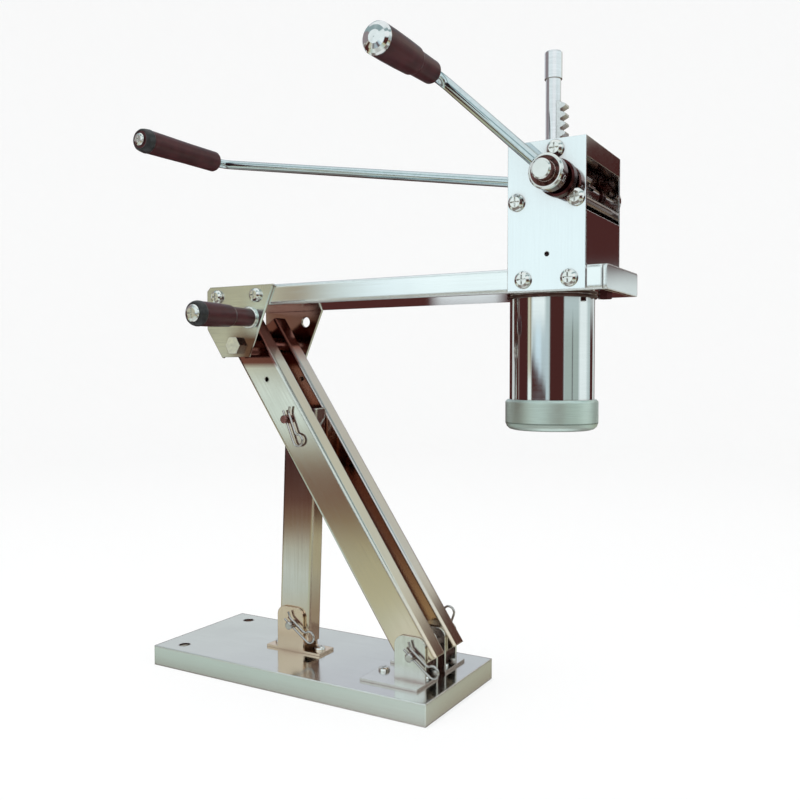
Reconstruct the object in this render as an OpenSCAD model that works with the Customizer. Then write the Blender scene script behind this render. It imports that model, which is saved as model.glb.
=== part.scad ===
// Hand-operated noodle press on a pinned stand: base tray, leaning rails, strut, swing-up arm,
// rack-and-pinion head with a fast crank and a long press lever, barrel, die and screw cap.
// Frame: +X along the arm towards the head, -Y is the front, +Z up. The origin is under the middle of
// the tray's left end wall.

/* [Base tray] */
// length of the base tray
base_l = 320; // [260:1:400]
// depth of the base tray front to back
base_w = 138; // [110:1:180]
// height of the folded tray
base_h = 20; // [14:1:30]
// sheet thickness of the tray
base_t = 2; // [1.5:0.5:4]
// diameter of the two fixing holes
base_hole_d = 11; // [6:0.5:14]
// distance of the fixing holes from the left end
base_hole_inset = 25; // [15:1:40]
// spacing of the fixing holes across the base
base_hole_span = 102; // [70:1:120]

/* [Stand] */
// wide side of the rail and strut tube
tube_w = 38; // [30:1:50]
// narrow side of the rail and strut tube
tube_d = 19; // [15:1:25]
// tube wall
tube_t = 1.5; // [1:0.25:3]
// outer corner radius of the tubes
tube_r = 2.5; // [1:0.5:4]
// lean of the rails from upright, degrees
rail_lean = 34; // [25:0.5:42]
// rail foot pin from the right end of the base
foot_inset = 33.5; // [28:0.5:60]
// height of the rail foot pin above the base underside
foot_z = 46; // [40:0.5:60]
// strut foot pin left of the rail foot pin
strut_gap = 150.5; // [120:0.5:170]
// distance along the rail from the foot pin to the strut pin
strut_s = 255; // [200:1:290]
// distance along the rail from the foot pin to the arm pivot
pivot_s = 342.5; // [300:0.5:380]
// diameter of the stand pins
pin_d = 8; // [6:0.5:10]
// sheet thickness of the brackets
bracket_t = 2.5; // [2:0.5:4]
// length of a bracket foot
bracket_l = 60; // [50:1:80]

/* [Arm] */
// depth of the arm tube front to back
arm_w = 90; // [84:1:110]
// height of the arm tube
arm_h = 20; // [16:1:30]
// wall of the arm tube
arm_t = 2; // [1.5:0.5:3]
// height of the arm underside above the arm pivot
arm_rise = 39; // [37:0.5:50]
// length of the arm left of the plunger axis
arm_left = 348; // [300:1:400]
// length of the arm right of the plunger axis
arm_right = 61; // [50:1:80]
// thickness of the saddle sheet
saddle_t = 3; // [2:0.5:4]

/* [Head] */
// distance from the arm pivot to the plunger axis
reach = 311; // [280:1:340]
// width of the head plates
head_w = 66; // [60:1:80]
// height of the head plates
head_h = 120; // [110:1:140]
// head plates left of the plunger axis
head_off = 21.5; // [20:0.5:26]
// head plate thickness
plate_t = 2; // [1.5:0.5:3]
// height of the side plates above the arm
side_h = 43; // [30:1:47]

/* [Drive] */
// gear module
gear_m = 2.5; // [2:0.25:3]
// teeth on the pinion
gear_z = 9; // [9:1:10]
// pressure angle in degrees
gear_pa = 25; // [24:0.5:28]
// face width of the pinion
gear_w = 16; // [12:1:24]
// backlash between the teeth
gear_lash = 0.3; // [0.2:0.05:0.5]
// pinion shaft diameter
shaft_d = 12; // [10:0.5:14]
// height of the pinion shaft above the arm top
shaft_up = 69.5; // [62:0.5:80]
// crank radius
crank_r = 130; // [100:1:150]
// crank rest angle above level, degrees
crank_rest = 43; // [30:1:60]
// diameter of the crank and lever rods
rod_d = 10; // [8:0.5:12]
// inner bend radius centre line of the rods
bend_r = 12; // [10:0.5:16]
// distance of the press lever grip from the shaft
lever_r = 459; // [380:1:480]
// press lever rest angle above level, degrees
lever_rest = 9.4; // [5:0.5:20]
// offset of the press lever rod from the shaft centre
lever_off = 12.5; // [12:0.5:16]
// teeth on the ratchet wheel
ratchet_z = 12; // [10:1:16]

/* [Barrel] */
// outside diameter of the barrel
barrel_d = 72; // [66:1:80]
// wall of the barrel
barrel_t = 2; // [1.5:0.5:3]
// length of the barrel under the arm
barrel_l = 107; // [100:1:130]
// wall of the screw cap round the barrel
cap_t = 3.5; // [3:0.5:8]
// height of the screw cap
cap_h = 26; // [22:1:32]
// opening in the screw cap
cap_open = 58; // [50:1:62]
// thickness of the die plate
die_t = 4.5; // [3:0.5:6]
// diameter of the die holes
die_hole = 4.5; // [3:0.5:5.5]
// plunger rod diameter
plunger_d = 13; // [12:0.5:14]
// piston underside below the arm underside at rest
piston_drop = 39; // [36:1:50]
// piston thickness
piston_h = 20; // [14:1:20]
// plunger rod top above the head plates
rod_above = 85; // [75:1:100]

/* [Grips] */
// length of the crank grip
crank_grip_l = 84; // [70:1:100]
// large diameter of the crank grip
crank_grip_d = 25; // [22:0.5:30]
// length of the press lever grip
press_grip_l = 112; // [90:1:120]
// large diameter of the press lever grip
press_grip_d = 24.5; // [22:0.5:30]
// length of the side grip
side_grip_l = 77; // [60:1:90]
// large diameter of the side grip
side_grip_d = 23; // [20:0.5:28]

/* [Fits] */
// radial running clearance of pins, shafts and bores
run = 0.05; // [0.02:0.01:0.1]
// side clearance between flat sliding pieces
slack = 0.5; // [0.3:0.1:1]

/* [Hidden] */
$fn = 48;

base_x0 = -base_t / 2;
foot_x = base_x0 + base_l - foot_inset;
strut_x = foot_x - strut_gap;

// stand geometry, the rails lie along the direction (dir_x, dir_z) from the foot pin
dir_x = -sin(rail_lean);
dir_z = cos(rail_lean);
gap_y = tube_d / 2 + slack;
rail_y = gap_y + tube_d;
rail_mid = gap_y + tube_d / 2;
rail_tail = 1.5 * pin_d;
rail_head = 3 * pin_d;
strut_top_x = foot_x + strut_s * dir_x;
strut_top_z = foot_z + strut_s * dir_z;
strut_foot_z = foot_z + pin_d / 4;
strut_dx = strut_top_x - strut_x;
strut_dz = strut_top_z - strut_foot_z;
strut_len = sqrt(strut_dx * strut_dx + strut_dz * strut_dz);
strut_ang = atan2(strut_dz, strut_dx);
pivot_x = foot_x + pivot_s * dir_x;
pivot_z = foot_z + pivot_s * dir_z;
spare_s = strut_s + 1.24 * tube_w;
spare_d = 0.6 * pin_d;
ear_w = 4 * pin_d;
ear_r = 9 / 8 * pin_d;
ear_top = 17 / 8 * pin_d;
ear_shift = 3 / 8 * pin_d;
strut_head = 11 / 8 * pin_d;
pin_head_r = 13 / 16 * pin_d;
pin_head_t = 3 / 8 * pin_d;
screw_d = 0.75 * pin_d;
screw_l = 7 / 3 * screw_d;
nut_af = 5 / 3 * screw_d;
nut_h = 5 / 6 * screw_d;
bracket_screw_x = 0.35 * bracket_l;
bracket_mid = 0.275 * bracket_l;
bracket_toe = 0.27 * bracket_l;
strut_bracket_l = 1.1 * bracket_l;
strut_screw_x = ear_w / 2 + 1.5 * screw_d;
bracket_out = gap_y + bracket_t;

// spring clips: wire, place on the pins and the angle of each eye
clip_d = 0.275 * pin_d;
clip_off = 0.4 * pin_d;
wire_let = 0.3;
foot_clip_y = rail_mid + bracket_out + clip_off;
strut_clip_y = bracket_out + clip_off;
top_clip_y = rail_y + clip_off;
foot_clip_a = -38;
foot_clip_b = 70;
strut_clip_a = -35;
top_clip_a = -68;
pin_end = 0.625 * pin_d;

// arm and head geometry
arm_z = pivot_z + arm_rise;
arm_top = arm_z + arm_h;
rod_x = pivot_x + reach;
arm_y = arm_w / 2;
head_x = rod_x - head_off;
head_z = arm_z + arm_h / 20;
head_top = head_z + head_h;
plate_y = arm_y + plate_t;
tie_xl = head_x + 0.12 * head_w;
tie_xr = head_x + 0.88 * head_w;
tie_d = screw_d * 5 / 3;
guide_screw_x = head_x + 0.62 * head_w;
arm_screw_x = [head_x + 0.21 * head_w, head_x + 0.8 * head_w];
arm_screw_z = arm_z + arm_h / 2;
sight_x = head_x + 0.515 * head_w;
sight_z = arm_top + head_h / 12;
sight_d = head_h / 30;
arm_x0 = rod_x - arm_left;
arm_x1 = rod_x + arm_right;
arm_r = 0.15 * arm_h;
end_t = 1.5 * arm_t;
end_seam = 0.3 * arm_t;
plug_l = 0.9 * arm_h;
end_screw_x = arm_x1 - end_t - plug_l / 2;
end_screw_y = -0.1 * arm_w;

// drive geometry
pitch_r = gear_m * gear_z / 2;
tooth_add = 0.8 * gear_m;
tooth_ded = gear_m;
pitch_off = plunger_d / 2 + 1.5 * gear_m;
shaft_x = rod_x + pitch_off + pitch_r;
shaft_z = arm_top + shaft_up;
rack_w = 4 * gear_m;
rack_back = 1.2 * gear_m;
base_r = pitch_r * cos(gear_pa);
tip_r = pitch_r + tooth_add;
root_r = pitch_r - tooth_ded;
half_a = 90 / gear_z - gear_lash / 4 / pitch_r * 180 / PI;
tooth_pitch = PI * gear_m;
rack_top = head_top + 0.55 * rod_above;
rack_up = floor((rack_top - shaft_z) / tooth_pitch - 0.5);
rack_dn = 3;
rack_n = rack_up + rack_dn + 1;
tie_z = shaft_z - 1.46 * pitch_r;
guide_h = min(head_h * 2 / 15, head_top - shaft_z - tip_r - 2 * slack);
guide_z = head_top - guide_h;
bush_d = shaft_d * 5 / 3;
flange_t = bush_d / 4;
flange_r = bush_d * 3 / 4;
sleeve_r = 0.7 * shaft_d;
hub_y0 = plate_y + flange_t + slack;
hub_neck = 0.95 * rod_d;
hub_t = 1.45 * rod_d;
hub_r = 1.4 * rod_d;
hub_rim = 0.12 * rod_d;
boss_l = 0.95 * rod_d;
boss_r = 0.5 * shaft_d + 0.2 * rod_d;
hub_l = hub_neck + hub_t + boss_l;
shaft_front = hub_y0 + hub_l - 0.35 * rod_d;
crank_y = hub_y0 + hub_neck + 0.6 * rod_d;
set_screw_d = rod_d / 2;
set_screw_a = 115;
ratchet_y = plate_y + flange_t + slack;
ratchet_t = 0.7 * rod_d;
ratchet_r = shaft_d * 4 / 3;
lever_hub_y = ratchet_y + ratchet_t + slack;
lever_hub_l = 1.4 * rod_d;
lever_hub_r = 1.375 * shaft_d;
lever_y = lever_hub_y + lever_hub_l / 2;
lever_tail = 1.2 * rod_d;
socket_l = 2.6 * rod_d;
shaft_nut_h = shaft_d / 2;
shaft_rear = lever_hub_y + lever_hub_l + slack + 1.25 * shaft_nut_h;
spindle_d = 0.8 * rod_d;
rod_neck = 0.2 * rod_d;
pawl_x = -lever_hub_r;
pawl_z = 0.9 * lever_hub_r;
pawl_pin_r = rod_d / 4;

// barrel and plunger geometry
barrel_r = barrel_d / 2;
bore_r = barrel_r - barrel_t;
barrel_z = arm_z - barrel_l;
die_z = barrel_z - die_t;
cap_floor = cap_h * 3 / 26;
cap_z = die_z - cap_floor;
piston_z = arm_z - piston_drop;
rod_top = head_top + rod_above;
collar_h = 0.26 * rod_above;
collar_t = plunger_d / 13;
groove_z = 0.35 * piston_h;
groove_h = 0.25 * piston_h;
groove_d = 1.5 * barrel_t;
socket_z = 0.4 * piston_h;
recess_z = 0.3 * piston_h;
recess_r = 0.7 * plunger_d;
stud_r = 0.3 * plunger_d;
die_ring = 0.13 * cap_open;

// arm saddle outline in X and Z, kept along the rails on its lower left edge
web_n = tube_w / 2 + saddle_t;
side_grip_x = pivot_x + 0.42 * arm_rise;
side_grip_z = pivot_z + 0.7 * arm_rise;
pivot_d = 1.25 * pin_d;
grip_hole_d = 1.1 * pivot_d;
bolt_d = pin_d;
bolt_x1 = pivot_x - 0.63 * tube_w;
bolt_x2 = pivot_x + 0.66 * tube_w;
bolt_z = arm_z + arm_h / 2;
web_u0 = 0.26 * tube_w;
web_u1 = 0.95 * tube_w;
cheek_l = 0.92 * tube_w;
cheek_right = 1.21 * tube_w;
cheek_toe = 0.4 * tube_w;
cheek_low = 0.3 * tube_w;
cheek_cut = 0.2 * arm_h;

steel = [0.80, 0.82, 0.83];
satin = [0.70, 0.72, 0.73];
dark = [0.30, 0.22, 0.20];
grip_brown = [0.26, 0.13, 0.15];
alloy = [0.66, 0.69, 0.66];
black = [0.12, 0.12, 0.12];

// a child drawn along +Z is laid along +Y from (x, y, z)
module along_y(x, y, z) {
  translate([x, y, z]) rotate([-90, 0, 0]) children();
}

// a child drawn along +Z is laid along -Y from (x, y, z)
module along_front(x, y, z) {
  translate([x, y, z]) rotate([90, 0, 0]) children();
}

// cylinder along Y between two y values
module rod_y(x, z, r, y0, y1) {
  along_y(x, y0, z) cylinder(r = r, h = y1 - y0);
}

// rounded pan head with a cross recess, seat at z = 0
module pan_head(r, h) {
  difference() {
    rotate_extrude() polygon([[0, 0], [r, 0], [r, h * 0.4], [r * 0.9, h * 0.72], [r * 0.62, h], [0, h]]);
    translate([-r * 0.55, -0.6, h * 0.55]) cube([r * 1.1, 1.2, h]);
    translate([-0.6, -r * 0.55, h * 0.55]) cube([1.2, r * 1.1, h]);
  }
}

// hexagon across flats af
module hexagon(af, h) {
  cylinder(r = af / 2 / cos(30), h = h, $fn = 6);
}

// bar along local +X with rounded long edges
module round_bar(l, d, w, r) {
  translate([0, r - d / 2, -w / 2]) cube([l, d - 2 * r, w]);
  translate([0, -d / 2, r - w / 2]) cube([l, d, w - 2 * r]);
  for (y = [r - d / 2, d / 2 - r]) for (z = [r - w / 2, w / 2 - r])
    translate([0, y, z]) rotate([0, 90, 0]) cylinder(r = r, h = l, $fn = 24);
}

// rectangular tube along local +X, open at both ends
module box_tube(l, d, w, t, r) {
  difference() {
    round_bar(l, d, w, r);
    translate([-1, t - d / 2, t - w / 2]) cube([l + 2, d - 2 * t, w - 2 * t]);
  }
}

// folded tray with its open side down and through holes for the brackets
module base_plate() {
  color(steel) difference() {
    translate([base_x0, -base_w / 2, 0]) cube([base_l, base_w, base_h]);
    translate([base_x0 + base_t, -base_w / 2 + base_t, -1])
      cube([base_l - 2 * base_t, base_w - 2 * base_t, base_h - base_t + 1]);
    for (s = [-1, 1]) translate([base_x0 + base_hole_inset, s * base_hole_span / 2, 0])
      cylinder(d = base_hole_d, h = base_h + 1);
    each_bracket_screw() cylinder(r = screw_d / 2 + run, h = 2 * base_h, center = true);
  }
}

// puts a child at every bracket screw, z = 0 on the tray top
module each_bracket_screw() {
  for (s = [-1, 1]) {
    translate([strut_x + s * strut_screw_x, 0, base_h]) children();
    for (y = [-rail_mid, rail_mid])
      translate([foot_x - bracket_mid + s * bracket_screw_x, y, base_h]) children();
  }
}

// clevis: foot, two ears with rounded tops and a pin hole, centred on the tube at y = 0,
// front and rear are how far the foot runs on past the ears
module clevis(pin_x, pin_z, foot_x0, foot_len, front, rear) {
  half = tube_d / 2 + slack;
  difference() {
    union() {
      translate([foot_x0, -half - bracket_t - front, base_h])
        cube([foot_len, 2 * (half + bracket_t) + front + rear, bracket_t]);
      for (s = [-1, 1]) translate([0, s * (half + bracket_t / 2), 0]) ear(pin_x, pin_z);
    }
    rod_y(pin_x, pin_z, pin_d / 2 + run, -half - 2 * bracket_t, half + 2 * bracket_t);
    children();
  }
}

// one ear of a clevis, square at the foot and rounded at the top
module ear(pin_x, pin_z) {
  top = pin_z + ear_top;
  x0 = pin_x - ear_w / 2 - ear_shift;
  translate([x0, -bracket_t / 2, base_h]) cube([ear_w, bracket_t, top - ear_r - base_h]);
  translate([x0 + ear_r, -bracket_t / 2, base_h]) cube([ear_w - 2 * ear_r, bracket_t, top - base_h]);
  for (x = [x0 + ear_r, x0 + ear_w - ear_r]) rod_y(x, top - ear_r, ear_r, -bracket_t / 2, bracket_t / 2);
}

module strut_bracket() {
  color(steel) clevis(strut_x, strut_foot_z, strut_x - strut_bracket_l / 2, strut_bracket_l, 0, 0)
    for (s = [-1, 1]) translate([strut_x + s * strut_screw_x, 0, base_h])
      cylinder(r = screw_d / 2 + run, h = 2 * bracket_t + 1, center = true);
}

module rail_bracket(front, rear) {
  clevis(foot_x, foot_z, foot_x - bracket_mid - bracket_l / 2, bracket_l, front, rear)
    for (s = [-1, 1]) translate([foot_x - bracket_mid + s * bracket_screw_x, 0, base_h])
      cylinder(r = screw_d / 2 + run, h = 2 * bracket_t + 1, center = true);
}

module front_rail_bracket() {
  color(steel) translate([0, -rail_mid, 0]) rail_bracket(bracket_toe, 0);
}

module rear_rail_bracket() {
  color(steel) translate([0, rail_mid, 0]) rail_bracket(0, bracket_toe);
}

module bracket_screws() {
  color(satin) each_bracket_screw() {
    translate([0, 0, bracket_t]) pan_head(0.92 * screw_d, 0.58 * screw_d);
    translate([0, 0, bracket_t - screw_l]) cylinder(d = screw_d, h = screw_l, $fn = 24);
  }
}

module bracket_nuts() {
  color(satin) each_bracket_screw() translate([0, 0, -base_t - nut_h]) difference() {
    hexagon(nut_af, nut_h);
    translate([0, 0, -1]) cylinder(r = screw_d / 2 + run, h = nut_h + 2, $fn = 24);
  }
}

module strut() {
  color(satin) difference() {
    translate([strut_x, 0, strut_foot_z]) rotate([0, -strut_ang, 0])
      translate([-ear_top, 0, 0])
        box_tube(ear_top + strut_len + strut_head, tube_d, tube_w, tube_t, tube_r);
    rod_y(strut_x, strut_foot_z, pin_d / 2 + run, -tube_d, tube_d);
    rod_y(strut_top_x, strut_top_z, pin_d / 2 + run, -tube_d, tube_d);
  }
}

// places a child on the rail line at a distance s from the foot pin
module on_rail(s) {
  translate([foot_x + s * dir_x, 0, foot_z + s * dir_z]) children();
}

module rail(y) {
  color(satin) difference() {
    translate([foot_x, y, foot_z]) rotate([0, -90 - rail_lean, 0])
      translate([-rail_tail, 0, 0])
        box_tube(rail_tail + pivot_s + rail_head, tube_d, tube_w, tube_t, tube_r);
    on_rail(0) rod_y(0, 0, pin_d / 2 + run, y - tube_d, y + tube_d);
    on_rail(strut_s) rod_y(0, 0, pin_d / 2 + run, y - tube_d, y + tube_d);
    on_rail(pivot_s) rod_y(0, 0, pivot_d / 2 + run, y - tube_d, y + tube_d);
    on_rail(spare_s) rod_y(0, 0, spare_d / 2, y - tube_d, y + tube_d);
  }
}

module front_rail() {
  rail(-rail_mid);
}

module rear_rail() {
  rail(rail_mid);
}

// pin along Y with chamfered ends and a cross hole for a spring clip at each clip y
module stand_pin(x, z, y0, y1, clips, angs) {
  difference() {
    along_y(x, y0, z) rotate_extrude() polygon([[0, 0], [pin_d / 2 - 1, 0], [pin_d / 2, 1],
      [pin_d / 2, y1 - y0 - 1], [pin_d / 2 - 1, y1 - y0], [0, y1 - y0]]);
    for (i = [0 : len(clips) - 1]) translate([x, clips[i], z]) rotate([0, -angs[i], 0])
      rotate([0, 90, 0]) cylinder(r = clip_d / 2 + run, h = 2 * pin_d, center = true, $fn = 24);
  }
}

module strut_foot_pin() {
  color(steel) {
    stand_pin(strut_x, strut_foot_z, -strut_clip_y - pin_end, bracket_out + 1, [-strut_clip_y],
      [strut_clip_a]);
    rod_y(strut_x, strut_foot_z, pin_head_r, bracket_out, bracket_out + pin_head_t);
  }
}

module strut_top_pin() {
  color(steel) {
    stand_pin(strut_top_x, strut_top_z, -top_clip_y - pin_end, rail_y + 1, [-top_clip_y], [top_clip_a]);
    rod_y(strut_top_x, strut_top_z, pin_head_r, rail_y, rail_y + pin_head_t);
  }
}

module rail_foot_pin() {
  color(steel) stand_pin(foot_x, foot_z, -foot_clip_y - pin_end, foot_clip_y + pin_end,
    [-foot_clip_y, foot_clip_y], [foot_clip_a, foot_clip_b]);
}

// arc of clip wire about (cx, cy) from angle a0 over a turn of t, a hair thicker than the straights
module wire_arc(cx, cy, r, a0, t) {
  translate([cx, cy, 0]) rotate([0, 0, a0]) rotate_extrude(angle = t)
    translate([r, 0]) circle(d = clip_d + 0.06, $fn = 20);
}

// straight of clip wire from (x0, y0) along angle a, let into the arcs at both ends
module wire_leg(x0, y0, a, l) {
  translate([x0, y0, 0]) rotate([0, 0, a]) rotate([0, 90, 0]) translate([0, 0, -wire_let])
    cylinder(d = clip_d, h = l + 2 * wire_let, $fn = 20);
}

// spring clip in its own plane: leg through the pin, eye, wave and flicked end over the pin
module r_clip() {
  eye_r = 0.7 * pin_d;
  wave_r = 0.5 * pin_d;
  flick_r = 0.75 * pin_d;
  flick_x = -0.375 * pin_d;
  flick_turn = 35;
  eye_x = 3 * pin_d;
  eye_turn = 240;
  lead = 1.125 * pin_d;
  neck = 0.125 * pin_d;
  nx = eye_x + eye_r * cos(eye_turn - 90);
  ny = eye_r + eye_r * sin(eye_turn - 90);
  wx = nx + neck * cos(eye_turn) - wave_r * cos(eye_turn - 210);
  wy = ny + neck * sin(eye_turn) + wave_r * sin(eye_turn - 210);
  leg_y = wy - wave_r;
  flick_a = -90 - flick_turn;
  wire_leg(-lead, 0, 0, lead + eye_x);
  wire_arc(eye_x, eye_r, eye_r, -90, eye_turn);
  wire_leg(nx, ny, eye_turn, neck);
  wire_arc(wx, wy, wave_r, -90, eye_turn - 180);
  wire_leg(flick_x, leg_y, 0, wx - flick_x);
  wire_arc(flick_x, leg_y + flick_r, flick_r, flick_a, flick_turn);
  wire_leg(flick_x + flick_r * cos(flick_a), leg_y + flick_r + flick_r * sin(flick_a), flick_a - 90,
    pin_d / 2);
}

// clip in a plane square to Y with its eye towards angle a above +X
module clip_at(x, y, z, a) {
  translate([x, y, z]) rotate([90, 0, 0]) rotate([0, 0, a]) r_clip();
}

module r_clips() {
  color(steel) {
    clip_at(strut_x, -strut_clip_y, strut_foot_z, strut_clip_a);
    clip_at(strut_top_x, -top_clip_y, strut_top_z, top_clip_a);
    clip_at(foot_x, -foot_clip_y, foot_z, foot_clip_a);
    clip_at(foot_x, foot_clip_y, foot_z, foot_clip_b);
  }
}

// hexagon bolt along Y: head outside the front cheek, shank to y1
module cross_bolt(x, z, d, y1) {
  along_front(x, -arm_y - saddle_t, z) hexagon(d * 1.6, d * 0.6);
  rod_y(x, z, d / 2, -arm_y - saddle_t - 1, y1);
}

module cross_nut(x, z, d) {
  along_y(x, arm_y + saddle_t, z) difference() {
    hexagon(d * 1.6, d * 0.75);
    translate([0, 0, -1]) cylinder(r = d / 2 + run, h = d + 2);
  }
}

module pivot_bolt() {
  color(steel) cross_bolt(pivot_x, pivot_z, pivot_d, arm_y + saddle_t + pivot_d);
}

module pivot_nut() {
  color(steel) cross_nut(pivot_x, pivot_z, pivot_d);
}

// sleeves on the pivot bolt between cheeks and rails
module pivot_spacers() {
  color(steel) {
    sleeve_y(-arm_y, -rail_y);
    sleeve_y(-gap_y, gap_y);
    sleeve_y(rail_y, arm_y);
  }
}

module sleeve_y(y0, y1) {
  difference() {
    rod_y(pivot_x, pivot_z, 0.9 * pivot_d, y0, y1);
    rod_y(pivot_x, pivot_z, pivot_d / 2 + run, y0 - 1, y1 + 1);
  }
}

// cheek outline in X and Z measured from the pivot, the lower left edge runs along the rail
module cheek_outline() {
  lx = -web_n * dir_z;
  lz = web_n * dir_x;
  left = lx + cheek_l * dir_x;
  top = arm_rise + arm_h;
  polygon([[lx, lz], [left, lz + cheek_l * dir_z], [left, top - cheek_cut], [left + cheek_cut, top],
    [cheek_right, top], [cheek_toe, -cheek_low], [lx + saddle_t / 2, -cheek_low]]);
}

module cheek(y0) {
  translate([pivot_x, y0 + saddle_t, pivot_z]) rotate([90, 0, 0]) linear_extrude(height = saddle_t)
    cheek_outline();
}

// folded saddle: two cheeks and a web that rests on the left faces of the rails
module saddle() {
  color(steel) difference() {
    union() {
      cheek(-arm_y - saddle_t);
      cheek(arm_y);
      translate([pivot_x, 0, pivot_z]) rotate([0, -90 - rail_lean, 0])
        translate([web_u0, -arm_y, tube_w / 2]) cube([web_u1 - web_u0, 2 * arm_y, saddle_t]);
    }
    rod_y(pivot_x, pivot_z, pivot_d / 2 + run, -arm_w, arm_w);
    for (x = [bolt_x1, bolt_x2]) rod_y(x, bolt_z, bolt_d / 2 + run, -arm_w, arm_w);
    rod_y(side_grip_x, side_grip_z, grip_hole_d / 2, -arm_w, arm_w);
  }
}

module saddle_bolts() {
  y0 = arm_y + saddle_t;
  color(steel) for (x = [bolt_x1, bolt_x2]) {
    along_front(x, -y0, bolt_z) pan_head(0.85 * bolt_d, 0.55 * bolt_d);
    rod_y(x, bolt_z, bolt_d / 2, -y0 - 1, y0 + bolt_d);
  }
}

module saddle_nuts() {
  color(steel) for (x = [bolt_x1, bolt_x2]) cross_nut(x, bolt_z, bolt_d);
}

// arm tube with the bolt holes, the plunger passage and the slot for the rack
module arm() {
  color(steel) difference() {
    translate([arm_x0, 0, arm_z + arm_h / 2])
      box_tube(arm_x1 - arm_x0 - end_t - end_seam, arm_w, arm_h, arm_t, arm_r);
    translate([end_screw_x, end_screw_y, arm_z])
      cylinder(r = screw_d / 2 + run, h = 2 * arm_t + 1, center = true);
    for (x = [bolt_x1, bolt_x2]) rod_y(x, bolt_z, bolt_d / 2 + run, -arm_w, arm_w);
    translate([rod_x, 0, arm_z - 1]) cylinder(r = plunger_d / 2 + run, h = arm_h / 2);
    translate([rod_x, 0, arm_z + arm_h / 2]) cylinder(r = plunger_d / 2 + run, h = arm_h);
    translate([rod_x, -rack_w / 2 - slack, arm_z + arm_h / 2])
      cube([pitch_off + tooth_add + slack, rack_w + 2 * slack, arm_h]);
    for (s = [-1, 1]) for (x = arm_screw_x) rod_y(x, arm_screw_z, screw_d / 2 + run,
      s * arm_y - 4, s * arm_y + 4);
  }
}

// plate on the right end of the arm with a plug inside the tube, a narrow seam is left at the tube
module arm_end_cap() {
  color(steel) difference() {
    union() {
      translate([arm_x1 - end_t, 0, arm_z + arm_h / 2]) round_bar(end_t, arm_w, arm_h, arm_r);
      translate([arm_x1 - end_t - plug_l, arm_t - arm_y, arm_z + arm_t])
        cube([plug_l + end_t / 2, arm_w - 2 * arm_t, arm_h - 2 * arm_t]);
    }
    translate([end_screw_x, end_screw_y, arm_z]) cylinder(r = screw_d / 2 + run, h = screw_l);
  }
}

// hexagon screw from below that holds the plug of the end cap
module end_cap_screw() {
  color(steel) translate([end_screw_x, end_screw_y, arm_z]) {
    translate([0, 0, -nut_h]) hexagon(nut_af, nut_h);
    translate([0, 0, -1]) cylinder(d = screw_d, h = screw_l, $fn = 24);
  }
}

// grip sleeve along Y from y = 0 towards the front: narrow inner end, shoulder, barrelled part, outer end
module grip_body(l, d, bore, outer) {
  rotate([90, 0, 0]) difference() {
    rotate_extrude() polygon(concat([[0, 0], [d * 0.33, 0], [d * 0.38, l * 0.02], [d * 0.4, l * 0.3],
      [d * 0.41, l * 0.36], [d * 0.46, l * 0.4], [d * 0.485, l * 0.6], [d * 0.5, l * 0.82]], outer,
      [[0, l]]));
    translate([0, 0, -1]) cylinder(r = bore, h = l + 2);
  }
}

module side_grip() {
  color(grip_brown) translate([side_grip_x, -arm_y - saddle_t, side_grip_z])
    grip_body(side_grip_l, side_grip_d, pivot_d / 2 + run, [[side_grip_d * 0.5, side_grip_l * 0.94],
      [side_grip_d * 0.47, side_grip_l * 0.98], [side_grip_d * 0.42, side_grip_l]]);
}

module side_grip_bolt() {
  y0 = -arm_y - saddle_t - side_grip_l;
  color(steel) {
    along_front(side_grip_x, y0, side_grip_z) pan_head(0.35 * side_grip_d, 0.15 * side_grip_d);
    rod_y(side_grip_x, side_grip_z, pivot_d / 2, y0 - 0.5, 1.1 * pivot_d - arm_y);
  }
}

module side_grip_nut() {
  color(steel) along_y(side_grip_x, -arm_y, side_grip_z) difference() {
    hexagon(1.6 * pivot_d, 0.7 * pivot_d);
    translate([0, 0, -1]) cylinder(r = pivot_d / 2 + run, h = pivot_d + 2);
  }
}

// head plate with the bush hole, the screw holes and one small sight hole
module head_plate(y0) {
  color(steel) difference() {
    translate([head_x, y0, head_z]) cube([head_w, plate_t, head_h]);
    rod_y(shaft_x, shaft_z, bush_d / 2 + run, y0 - 1, y0 + plate_t + 1);
    rod_y(guide_screw_x, guide_z + guide_h / 2, screw_d / 2 + run, y0 - 1, y0 + plate_t + 1);
    for (x = [tie_xl, tie_xr]) rod_y(x, tie_z, screw_d / 2 + run, y0 - 1, y0 + plate_t + 1);
    for (x = arm_screw_x) rod_y(x, arm_screw_z, screw_d / 2 + run, y0 - 1, y0 + plate_t + 1);
    rod_y(sight_x, sight_z, sight_d / 2, y0 - 1, y0 + plate_t + 1);
  }
}

module front_plate() {
  head_plate(-plate_y);
}

module rear_plate() {
  head_plate(arm_y);
}

// two low side plates standing on the arm
module side_plates() {
  color(steel) for (x = [head_x, head_x + head_w - plate_t])
    translate([x, -arm_y, arm_top]) cube([plate_t, arm_w, side_h]);
}

// round bars that hold the two head plates apart
module tie_bars() {
  color(steel) for (x = [tie_xl, tie_xr]) difference() {
    rod_y(x, tie_z, tie_d / 2, -arm_y, arm_y);
    for (s = [-1, 1]) rod_y(x, tie_z, screw_d / 2 + run, s * arm_y - screw_l - 1, s * arm_y + screw_l + 1);
  }
}

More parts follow.
